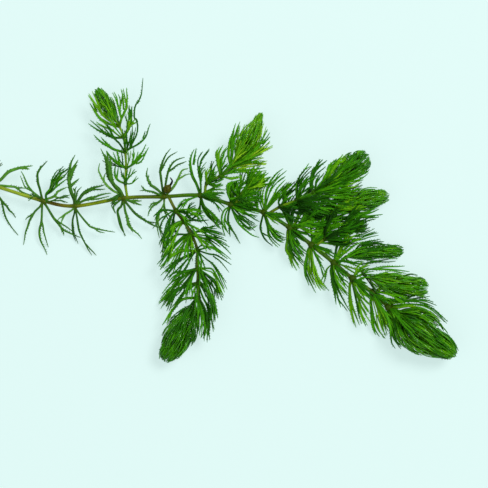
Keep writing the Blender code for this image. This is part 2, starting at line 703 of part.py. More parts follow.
def whorl_mesh(name, node, along, stem_radius, angles, arms):
    """A collar round the stem with an arm for each leaf, as one closed body."""
    shape = bmesh.new()
    sector = 2 * math.pi / len(arms)
    inner = stem_radius + GAP
    outer = inner + COLLAR_WALL
    rings = []
    order = np.argsort(angles)
    for leaf in order:
        out = ray(along, angles[leaf] - sector / 2)
        spots = [(inner, -1), (outer, -1), (outer, 1), (inner, 1)]
        rings.append([shape.verts.new(node + r * out + h * COLLAR_HALF * along) for r, h in spots])
    for corners, after, leaf in zip(rings, rings[1:] + rings[:1], order):
        for k in (0, 2, 3):
            shape.faces.new([corners[k], corners[(k + 1) % 4], after[(k + 1) % 4], after[k]])
        root_face = [corners[1], after[1], after[2], corners[2]]
        points, halves = arms[leaf]
        add_arm(shape, root_face, ray(along, angles[leaf] + math.pi / 2), points[1:], halves[1:])
    return finished_mesh(name, shape)


def add_arm(shape, root_face, across, points, halves):
    """A tapering arm with square sections, from a face of the collar to a leaf's tip."""
    last = root_face
    root = sum((np.array(corner.co) for corner in root_face), np.zeros(3)) / 4
    for centre, heading, half in zip(points, headings(np.vstack([root, points]))[1:], halves):
        across = unit(across - across.dot(heading) * heading)
        thick = np.cross(heading, across)
        square = [(-1, -1), (1, -1), (1, 1), (-1, 1)]
        ring = [shape.verts.new(centre + half * (a * across + t * thick)) for a, t in square]
        for k in range(4):
            shape.faces.new([last[k], last[(k + 1) % 4], ring[(k + 1) % 4], ring[k]])
        last = ring
    shape.faces.new(last)


def finished_mesh(name, shape):
    bmesh.ops.recalc_face_normals(shape, faces=shape.faces)
    mesh = bpy.data.meshes.new(name)
    shape.to_mesh(mesh)
    shape.free()
    return mesh


def add_piece(name, mesh, material, smooth=False):
    mesh.materials.append(material)
    if smooth:
        mesh.shade_smooth()
    piece = bpy.data.objects.new(name, mesh)
    bpy.context.scene.collection.objects.link(piece)
    return piece


def outline_radii(outline, largest, shares):
    return np.interp(shares, [s for s, _ in outline], [r for _, r in outline]) * largest


def stem_direction(path, point):
    nearest = np.linalg.norm(path - point, axis=1).argmin()
    return headings(path)[nearest]


def shoot_start(shoot, main_stem):
    """Where a side shoot leaves the main stem, just past its node."""
    parent = SHOOTS["main"]
    node = place(parent["nodes"][shoot["parent"]], parent["heights"][shoot["parent"]])
    along = stem_direction(main_stem["path"], node)
    base = node + along * SHOOT_SET_OFF
    aim = place(shoot["nodes"][0], shoot["heights"][0]) - base
    aim = unit(aim - aim.dot(along) * along)
    return base + aim * (main_stem["radius"] + GAP + max(shoot["stem_radius"]) * MM)


def build_stem(name, shoot, stems, room, material):
    """A shoot's stem, from where it is cut or forks off to the base of its end bud."""
    nodes = [place(plan, height) for plan, height in zip(shoot["nodes"], shoot["heights"])]
    if name == "main":
        start = place(CUT_END, CUT_END_HEIGHT)
    else:
        start = shoot_start(shoot, stems["main"])
    end = place(shoot["bud"][0], shoot["bud_heights"][0])
    end = end + unit(nodes[-1] - end) * GAP
    path = smooth_path([start, *nodes, end], STEM_STEPS)
    shares = lengths_along(path) / lengths_along(path)[-1]
    radii = between(np.array(shoot["stem_radius"])[:, None], shares) * MM
    stems[name] = {"path": path, "radius": max(shoot["stem_radius"]) * MM}
    room.fill(f"{name}_stem", path, radii)
    mesh = tube_mesh(f"{name}_stem", path, radii, STEM_SIDES)
    add_piece(f"{name}_stem", mesh, material, smooth=True)


def bud_radii(shoot, shares):
    """A bud's radius along its axis: it swells to its widest place and then closes."""
    widest, blunt = shoot["bud_shape"]
    quarter = math.pi / 2
    shares = np.asarray(shares)
    swell = BUD_FOOT + (1 - BUD_FOOT) * np.sin(quarter * np.clip(shares / widest, 0, 1)) ** 0.9
    past = np.clip((shares - widest) / (1 - widest), 0, 1)
    close = blunt + (1 - blunt) * np.cos(quarter * past) ** (1.6 * (1 - blunt))
    cap = np.sqrt(1 - np.clip((shares - 0.86) / 0.16, 0, 1) ** 2)
    return np.where(shares < widest, swell, close * cap) * shoot["bud_radius"] * MM


def build_bud(name, shoot, room, material):
    """The closed leafy end of a shoot, as the body that its leaf tips reach."""
    bends = [place(plan, height) for plan, height in zip(shoot["bud"], shoot["bud_heights"])]
    axis = smooth_path(bends, CURVE_STEPS)
    path = points_at(axis, BUD_SECTIONS)
    radii = bud_radii(shoot, BUD_SECTIONS)
    room.fill(f"{name}_bud", path, radii)
    sides = BUD_SIDES if shoot["bud_radius"] > SMALL_BUD_RADIUS else SMALL_BUD_SIDES
    add_piece(f"{name}_bud", tube_mesh(f"{name}_bud", path, radii, sides), material, smooth=True)


def build_nut(room, material):
    """The fruit: an egg shape with a hooked spine on its tip, as one body."""
    axis = [place(plan, height) for plan, height in zip(NUT_AXIS, NUT_HEIGHTS)]
    spine = [place(plan, height) for plan, height in zip(NUT_SPINE, NUT_SPINE_HEIGHTS)]
    shares = [share for share, _ in NUT_OUTLINE]
    body = points_at(np.array(axis), shares)
    path = np.vstack([body, spine])
    radii = np.concatenate([outline_radii(NUT_OUTLINE, NUT_RADIUS, shares), NUT_SPINE_RADII])
    room.fill("nut", path, radii)
    add_piece("nut", tube_mesh("nut", path, radii, NUT_SIDES), material, smooth=True)


def whorl_place(name, shoot, index, stems):
    """A whorl's name, its node and the direction of the stem there."""
    owner = f"{name}_whorl_{index + 1:02d}" if name == "main" else f"{name}_whorl_{index + 1}"
    node = place(shoot["nodes"][index], shoot["heights"][index])
    return owner, node, stem_direction(stems[name]["path"], node)


def fill_collar(name, shoot, index, stems, room):
    owner, node, along = whorl_place(name, shoot, index, stems)
    ends = np.array([node - COLLAR_HALF * along, node + COLLAR_HALF * along])
    room.fill(owner, ends, np.full(2, stems[name]["radius"] + GAP + COLLAR_WALL))


def grown_turns(shoot, index, placed, node, along, rng):
    """The turns round the stem of the leaves that grow evenly, where no placed leaves stand."""
    side, _ = across_axes(along)
    taken = {np.sign((place(plan[-1], 0) - node)[:2].dot(side[:2])) for _, plan in placed}
    for k in range(shoot["leaves"]):
        even = (k + 0.5 * (index % 2)) * 360 / shoot["leaves"]
        turn = math.radians(even + rng.uniform(-TURN_SCATTER, TURN_SCATTER))
        turn = math.atan2(SIDE_PRESS * math.sin(turn), math.cos(turn))
        if abs(math.cos(turn)) < UPRIGHT or np.sign(math.cos(turn)) not in taken:
            yield math.degrees(turn)


def whorl_leaves(owner, name, shoot, index, node, along):
    """The leaves of one whorl, before they make way for other pieces."""
    placed = OPEN_WHORLS.get(owner, [])
    leaves = [open_leaf(node, plan, rise) for rise, plan in placed]
    rng = random.Random(f"{name} {index}")
    share = index / (len(shoot["nodes"]) - 1)
    for turn in grown_turns(shoot, index, placed, node, along, rng):
        if len(leaves) == shoot["leaves"]:
            break
        length = between(shoot["length"], share) * rng.uniform(*LENGTH_SCATTER)
        lean_base = between(shoot["lean_base"], share) + rng.uniform(-LEAN_SCATTER, LEAN_SCATTER)
        lean_tip = between(shoot["lean_tip"], share) + rng.uniform(-LEAN_SCATTER, LEAN_SCATTER)
        leaves.append(grown_leaf(node, along, turn, length, lean_base, lean_tip))
    return leaves


def build_whorls(name, shoot, stems, room, material):
    """A shoot's whorls, from its tip back to its base."""
    for index in reversed(range(len(shoot["nodes"]))):
        owner, node, along = whorl_place(name, shoot, index, stems)
        radius = stems[name]["radius"]
        sections = OLD_SECTIONS if owner in OLDEST_WHORLS else YOUNG_SECTIONS
        leaves = whorl_leaves(owner, name, shoot, index, node, along)
        angles = sectors(node, along, leaves)
        arms = []
        for path, angle in zip(leaves, angles):
            root = node + ray(along, angle) * (radius + GAP + COLLAR_WALL)
            points, halves = fitted_leaf(room, owner, node, root, path, sections)
            room.fill(owner, points, halves * CORNER)
            arms.append((points, halves))
        add_piece(owner, whorl_mesh(owner, node, along, radius, angles, arms), material)


def main():
    clear_scene()
    leaf_green = plain_material("leaf_green", LEAF_GREEN, 0.45)
    bud_green = plain_material("bud_green", BUD_GREEN, 0.45)
    stem_olive = plain_material("stem_olive", STEM_OLIVE, 0.4)
    nut_brown = plain_material("nut_brown", NUT_BROWN, 0.5)
    room = Room()
    stems = {}
    for name, shoot in SHOOTS.items():
        if shoot["nodes"]:
            build_stem(name, shoot, stems, room, stem_olive)
    for name, shoot in SHOOTS.items():
        build_bud(name, shoot, room, bud_green)
    build_nut(room, nut_brown)
    for name, shoot in SHOOTS.items():
        for index in range(len(shoot["nodes"])):
            fill_collar(name, shoot, index, stems, room)
    for name, shoot in SHOOTS.items():
        if shoot["nodes"]:
            build_whorls(name, shoot, stems, room, leaf_green)


main()
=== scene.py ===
"""The looks of a hornwort sprig: fine forked leaves, feathery buds, stems and a nut. Metres, +Z up."""

import json
import math
import random
from dataclasses import dataclass

import bpy
import numpy as np
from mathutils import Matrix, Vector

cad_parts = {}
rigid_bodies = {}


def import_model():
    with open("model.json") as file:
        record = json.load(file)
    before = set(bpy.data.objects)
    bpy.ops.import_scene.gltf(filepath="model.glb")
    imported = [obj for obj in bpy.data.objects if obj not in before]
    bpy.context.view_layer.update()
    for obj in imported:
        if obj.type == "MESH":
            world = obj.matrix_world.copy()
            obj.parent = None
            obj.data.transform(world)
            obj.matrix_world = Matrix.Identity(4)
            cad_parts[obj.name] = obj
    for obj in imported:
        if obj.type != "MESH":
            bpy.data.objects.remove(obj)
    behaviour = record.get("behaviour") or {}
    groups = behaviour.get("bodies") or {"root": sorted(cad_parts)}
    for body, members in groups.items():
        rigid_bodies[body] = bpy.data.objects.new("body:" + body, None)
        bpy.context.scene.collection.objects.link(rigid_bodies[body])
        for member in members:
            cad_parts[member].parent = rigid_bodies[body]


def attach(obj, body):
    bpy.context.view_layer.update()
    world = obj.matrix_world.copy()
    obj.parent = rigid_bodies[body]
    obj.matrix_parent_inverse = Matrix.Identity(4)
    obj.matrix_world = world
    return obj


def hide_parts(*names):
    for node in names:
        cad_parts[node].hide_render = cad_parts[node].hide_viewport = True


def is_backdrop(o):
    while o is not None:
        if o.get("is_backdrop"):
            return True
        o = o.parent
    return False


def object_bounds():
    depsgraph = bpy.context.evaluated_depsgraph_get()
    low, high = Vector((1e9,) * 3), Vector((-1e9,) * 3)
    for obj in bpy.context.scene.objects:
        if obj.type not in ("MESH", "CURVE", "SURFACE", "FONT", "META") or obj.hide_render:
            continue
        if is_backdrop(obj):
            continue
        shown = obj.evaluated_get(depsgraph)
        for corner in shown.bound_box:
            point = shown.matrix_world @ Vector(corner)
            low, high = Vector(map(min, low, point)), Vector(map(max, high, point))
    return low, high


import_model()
cad_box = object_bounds()

# Driving dimensions, as in the CAD
SPRIG_LENGTH = 0.2192
MM = 0.001
SHOOT_SET_OFF = 1.9 * MM  # a side shoot leaves the stem this far past the node

# The plan grid: places are across and down in squares of a grid laid over the sprig
GRID_SPAN = 487.0  # squares from the cut end to the tip of the main bud
GRID = SPRIG_LENGTH / GRID_SPAN
GRID_MIDDLE = (213.3, 221.4)

# How a leaf grows
LEAF_STEPS = 14  # along a leaf that grows by rule
PLAN_STEPS = 6  # points to each stretch of a leaf whose plan is given
GAP_LEAF_POINTS = 24  # along a leaf that fills a gap
BEND_POWER = 0.8  # below 1: a leaf bends most near its base
RISE_POWER = 1.2  # above 1: a leaf rises or sinks most near its tip
UP_SQUASH = 0.7  # how far the laid sprig's upper leaves keep their height
SIDE_PRESS = 0.65  # how far a laid whorl's leaves turn level with the floor
TURN_SCATTER = 7  # degrees either way
LEAN_SCATTER = 8
LENGTH_SCATTER = (0.88, 1.1)
FLOOR_GAP = 0.45 * MM
FLOOR_CONTACT = 0.03 * MM  # nothing lies lower than this
UPRIGHT = 0.6  # leaves that stand more level than this belong to a side of the whorl

# How a leaf forks: shares of its length, how far its tines stand apart, and tilts in radians
FIRST_FORK = (0.28, 0.42)
SECOND_FORK = (0.3, 0.6)
SECOND_FORK_CHANCE = 0.45
FORK_OVERLAP = 0.04  # how far a leaf's root runs on past its fork
TINE_ENDS = (0.84, 1.0)
SECOND_TINE_LENGTH = (0.75, 1.0)
TINE_SPREAD = (0.5 * MM, 1.4 * MM)
SPREAD_POWER = 0.75  # below 1: tines draw apart most near their fork
FORK_TILT = 0.7
SECOND_TILT = 0.8
CROOK = 0.22 * MM  # how far a tine wanders to either side
CROOK_POINTS = 3  # points of a tine to each of its bends
TINE_POINTS = 14
PLACED_TINE_POINTS = 16
SHORT_TINE_POINTS = 8

# Half the width of a leaf, and the widths of its parts as shares of that
ROOT_HALF = 0.4 * MM
FORK_HALF = 0.39 * MM
TIP_HALF = 0.15 * MM
BUD_LEAF_HALF = 0.36 * MM
TIP_LENGTH = 2  # of the point at a tine's end, for each half width there
LEAF_FLATNESS = 0.75
LEAF_SIDES = 6
LEAF_SIZES = (0.85, 1.2)
ROOT_WIDTHS = [1.3, 1.0, 0.9, 0.88, 0.92, 0.97, 1.0]  # evenly from the stem to the fork
TINE_WIDTH = 0.9
SIDE_TINE_WIDTH = 0.8
SECOND_TINE_WIDTH = 0.75
TONE_SCATTER = (-0.25, 0.3)
GRAIN_START = (0, 50)  # where on the skin pattern a leaf begins

# Teeth along a tine: gaps as shares of the spacing, sizes as shares of the tine's half width
TOOTH_SPACING = 1.3 * MM
FIRST_TOOTH = (0.8, 1.6)
TOOTH_GAPS = (0.6, 1.5)
TOOTH_LENGTH = (0.5 * MM, 1.0 * MM)
TOOTH_DEPTH = 0.7
TOOTH_HALF = 0.45
TOOTH_FOOT = 1.6  # its foot is this much longer than wide
TOOTH_OUT = 0.8  # a tooth leans out and towards the leaf's tip by these parts
TOOTH_AHEAD = 0.6
TEETH_END = 0.96

# Leaves that fill a gap: cosine of the widest gap, and the place between their neighbours
SAME_WAY = 0.85
GAP_SHARE = (0.35, 0.65)

# The leaves that lie over the stem: their turn round it, length, and lean at base and tip
COVER_TURN = (50, 130)
COVER_LENGTH = (8, 12)
COVER_LEAN = (55, 6)

# The ring at a node: places along it and widths, as shares of its reach and the stem's radius
KNOT_OUTLINE = [(-1.0, 1.02), (-0.62, 1.25), (-0.2, 1.5), (0.2, 1.52), (0.62, 1.3), (1.0, 1.02)]
KNOT_REACH = 1.4
KNOT_SIDES = 14
KNOT_SHADE = 0.2  # how much paler a knot is for each millimetre of a thinner stem
DARK_KNOT = 0.9  # on a stem of this radius or more a knot is as dark as a leaf's root

# A bud and its leaves
BUD_STEPS = 16  # points to each stretch of its axis
BUD_FOOT = 0.14  # a bud's radius where it leaves its stem, as a share of its largest
BUD_SWELL_POWER = 0.9  # below 1: it swells most near its foot
BUD_CLOSE_POWER = 1.6  # how sharply it closes to its tip
BUD_CAP = (0.86, 0.16)  # where a bud's round tip begins, and its length
BUD_LAYER_GAP = 2.8 * MM  # along the bud, from one ring of leaves to the next
FEWEST_LAYERS = 5
LAST_LAYER = 0.8  # share of the bud's length where its last ring stands
LAYER_POWER = 1.1  # above 1: rings stand closer at the foot
BUD_LEAVES_TO_MM = 1.8  # leaves in a ring for each millimetre of the bud's radius
BUD_LEAVES_MORE = 4
BUD_TURN_SCATTER = 0.3
BUD_LEAF_LENGTH = (0.3, 0.5)
BUD_LEAF_END = (0.93, 1.01)
BUD_TONE_SCATTER = 0.2
BUD_DEPTH = (0.55, 1.05)  # how far out leaves lie, as shares of the bud's radius
BUD_SWERVE = 0.25  # radians that a leaf may wind round the bud
BUD_FLARES = [-0.4 * MM, 0, 0, 0.5 * MM]  # how far a leaf's tip stands off or dips in
BUD_LEAF_STEPS = 10
BUD_FORK = (0.25, 0.45)
BUD_FORK_OVERLAP = 0.05
BUD_ROOT_POINTS = 5
BUD_FORK_TILT = 1.5
BUD_LEAF_SIZES = (0.85, 1.15)
BUD_TINE_ENDS = (0.85, 1.0)
BUD_TINE_SPREAD = (0.4 * MM, 0.8 * MM)
LOOSE_BUD = 2.0  # a bud with a smaller radius, in millimetres, is only a few placed leaves
CORE_END = 0.75  # share of the bud's length that has a stem inside
CORE_HALVES = (0.45 * MM, 0.2 * MM)
CORE_POINTS = 8
CORE_TONE = 0.5
STALK_HALVES = (0.6 * MM, 0.45 * MM)
STALK_REACH = 6  # the point of the bud's axis where its stalk ends
STALK_SHARE = 0.5
STALK_SIDES = 8

# A stem's rings: how thin it is between nodes, how much a node adds, and its fine ridges
STEM_STEPS = 24
STEM_SIDES = 20
STEM_THIN = 0.92
NODE_SWELL = 0.28
NODE_LENGTH = 1.6 * MM
NODE_COLOUR_LENGTH = 1.8 * MM  # how far a node's darker colour reaches
RIDGES = [(0.05, 5, 9 * MM), (0.02, 2, 2 * MM)]  # height, number round the stem, twist length

# The nut: places along it and widths as shares, and the spots on its axis and its spine
NUT_OUTLINE = [(0.0, 0.25), (0.12, 0.7), (0.35, 1.0), (0.6, 0.95), (0.85, 0.5), (1.0, 0.16)]
NUT_RADIUS = 1.9 * MM
NUT_FLATNESS = 0.92
NUT_SIDES = 20
NUT_POINTS = 16
NUT_TONE = 0.5
NUT_AXIS = [(164.9, 192.5, 9.6), (170.8, 185, 10.4)]
NUT_SPINE = [(172.2, 182.4, 10.7), (172.4, 180.6, 11), (170.9, 178.4, 11.2)]
SPINE_HALVES = (0.55 * MM, 0.3 * MM)
SPINE_SIDES = 8

CUT_END = (-30, 182, 6.3)


@dataclass
class Shoot:
    """One shoot. A spot is across and down on the grid, and its height in millimetres.

    Pairs run from the first whorl to the last whorl or the bud, except for the bud's shape.
    """

    bud: list  # spots on its bud's axis
    bud_radius: float  # millimetres, at its widest
    bud_shape: tuple  # share of its length where it is widest, share of width left at its tip
    tone: tuple  # 0 is dark and old, 1 is bright and young; the low tones of shoot_f, shoot_g and shoot_h, which crowd the middle of the sprig, are partly painted shade
    parent: int = None  # the main stem's node that it grows from, counted from 0
    nodes: tuple = ()  # spots on its stem
    stem_radius: tuple = ()  # millimetres
    length: tuple = ()  # of a leaf, millimetres
    lean_base: tuple = ()  # a leaf's lean from the stem at its base and tip, degrees
    lean_tip: tuple = ()
    leaves: int = 10  # in a whorl, where none are placed
    thickness: float = 1.2  # of leaves that grow by rule
    bare: int = 0  # whorls at its foot that have only their placed leaves
    cover: int = 3  # leaves that lie over the stem, for each whorl
    filled: float = 1  # chance of one more leaf in a gap between placed ones
    knots: tuple = (1.1, 1.1)  # width of the rings at its nodes


SHOOTS = {
    "main": Shoot(
        nodes=[
            (-9, 185, 6.5), (42, 200.5, 6.8), (74.6, 206, 7), (123, 198, 7), (164, 196.5, 7.2),
            (200.5, 195.5, 7.5), (231, 204.5, 7.8), (264, 212.5, 8), (290, 228, 8), (311.5, 245, 8),
            (334, 263, 8), (352.5, 278.5, 8), (373, 292.5, 8), (388.5, 307, 8.2),
        ],
        stem_radius=(0.85, 1.0), length=(20, 22.5), lean_base=(95, 72), lean_tip=(45, 14),
        bare=5, filled=0.5, knots=(0.85, 1.2),
        bud=[(392, 310.5, 8.3), (423, 334, 9.2), (456, 356, 8.6)],
        bud_radius=10.2, bud_shape=(0.34, 0.24), tone=(0.4, 0.58),
    ),
    "shoot_a": Shoot(
        parent=1,
        bud=[(46.5, 194.5, 9.5), (57, 181, 11), (70, 165.5, 12)],
        bud_radius=1.9, bud_shape=(0.5, 0.3), tone=(0.4, 0.45),
    ),
    "shoot_b": Shoot(
        parent=3,
        nodes=[
            (125.5, 183.4, 9), (126.4, 168.2, 9.5), (125.5, 152.6, 9.5), (123.8, 137.4, 9),
            (119.3, 126.3, 8.5),
        ],
        stem_radius=(0.65, 0.5), length=(13, 18), lean_base=(100, 60), lean_tip=(20, 8),
        leaves=8, thickness=1.0, cover=0, filled=0, knots=(1.0, 1.0),
        bud=[(117.5, 123.5, 8.2), (107.5, 106.5, 6.2), (95.5, 87, 4.4)],
        bud_radius=3.5, bud_shape=(0.5, 0.3), tone=(0.45, 0.6),
    ),
    "shoot_c": Shoot(
        parent=4,
        nodes=[
            (176, 211, 7.5), (183.8, 221.6, 7.5), (191.4, 234, 7.5), (197.3, 250, 7.5),
            (197.6, 268.5, 7.4), (197.6, 283, 7.3), (197, 298, 7.2),
        ],
        stem_radius=(0.75, 0.6), length=(20, 21), lean_base=(88, 60), lean_tip=(42, 12),
        cover=1, filled=0.8,
        bud=[(195.5, 302, 7.3), (182.5, 330, 7.4), (163, 361.5, 7.2)],
        bud_radius=7.3, bud_shape=(0.52, 0.34), tone=(0.5, 0.42),
    ),
    "shoot_d": Shoot(
        parent=5,
        nodes=[(207.4, 182.8, 9.5), (220.7, 176, 10.5), (231, 167, 10.5)],
        stem_radius=(0.7, 0.6), length=(13, 18), lean_base=(75, 50), lean_tip=(25, 8),
        cover=1, filled=0.5,
        bud=[(235, 164, 10.3), (250, 140, 8.6), (261.5, 111.5, 6)],
        bud_radius=5.6, bud_shape=(0.4, 0.06), tone=(0.56, 0.7),
    ),
    "shoot_e": Shoot(
        parent=6,
        nodes=[(239, 196.5, 11), (247, 189, 12)],
        stem_radius=(0.6, 0.5), length=(13, 12), lean_base=(70, 45), lean_tip=(25, 10),
        thickness=1.3, cover=2,
        bud=[(249.5, 186.5, 12.2), (258, 179, 12.6), (267, 171, 12.6)],
        bud_radius=1.9, bud_shape=(0.4, 0.3), tone=(0.4, 0.62),
    ),
    # The dark tones at the feet of shoot_f and shoot_g and along shoot_h are partly painted shade of the
    # crowded middle
    "shoot_f": Shoot(
        parent=7,
        nodes=[(281, 206.5, 11), (297, 200.5, 13), (313, 193, 14), (327, 186, 14)],
        stem_radius=(0.75, 0.6), length=(19, 19), lean_base=(85, 50), lean_tip=(30, 8),
        leaves=14, thickness=1.4,
        bud=[(330, 184, 13.6), (350, 170, 10.8), (368.5, 155, 7.6)],
        bud_radius=6.8, bud_shape=(0.6, 0.42), tone=(0.25, 0.52),
    ),
    "shoot_g": Shoot(
        parent=8,
        nodes=[(305, 221.5, 7.5), (318.5, 215, 7), (331, 208.5, 6.5)],
        stem_radius=(0.7, 0.6), length=(16, 16), lean_base=(75, 45), lean_tip=(20, 8),
        leaves=12, thickness=1.5,
        bud=[(334.5, 207, 6.4), (362, 200, 6.2), (390, 195.5, 6)],
        bud_radius=6.0, bud_shape=(0.5, 0.28), tone=(0.15, 0.6),
    ),
    "shoot_h": Shoot(
        parent=9,
        nodes=[(325, 238.5, 9.5), (339, 231.5, 10)],
        stem_radius=(0.6, 0.5), length=(15, 15), lean_base=(65, 40), lean_tip=(18, 8),
        leaves=12, thickness=1.5, filled=0.2,
        bud=[(342.5, 229.5, 10), (355, 226, 9.6), (367, 223, 9)],
        bud_radius=3.4, bud_shape=(0.6, 0.7), tone=(0.1, 0.3),
    ),
    "shoot_i": Shoot(
        parent=10,
        bud=[(345, 257, 8), (372, 252.5, 6.4), (405, 251, 5)],
        bud_radius=3.6, bud_shape=(0.45, 0.45), tone=(0.4, 0.5),
    ),
    "shoot_j": Shoot(
        parent=11,
        bud=[(366, 277, 10.5), (398, 284, 10), (428.5, 288, 8.5)],
        bud_radius=5.8, bud_shape=(0.55, 0.5), tone=(0.45, 0.62),
    ),
}

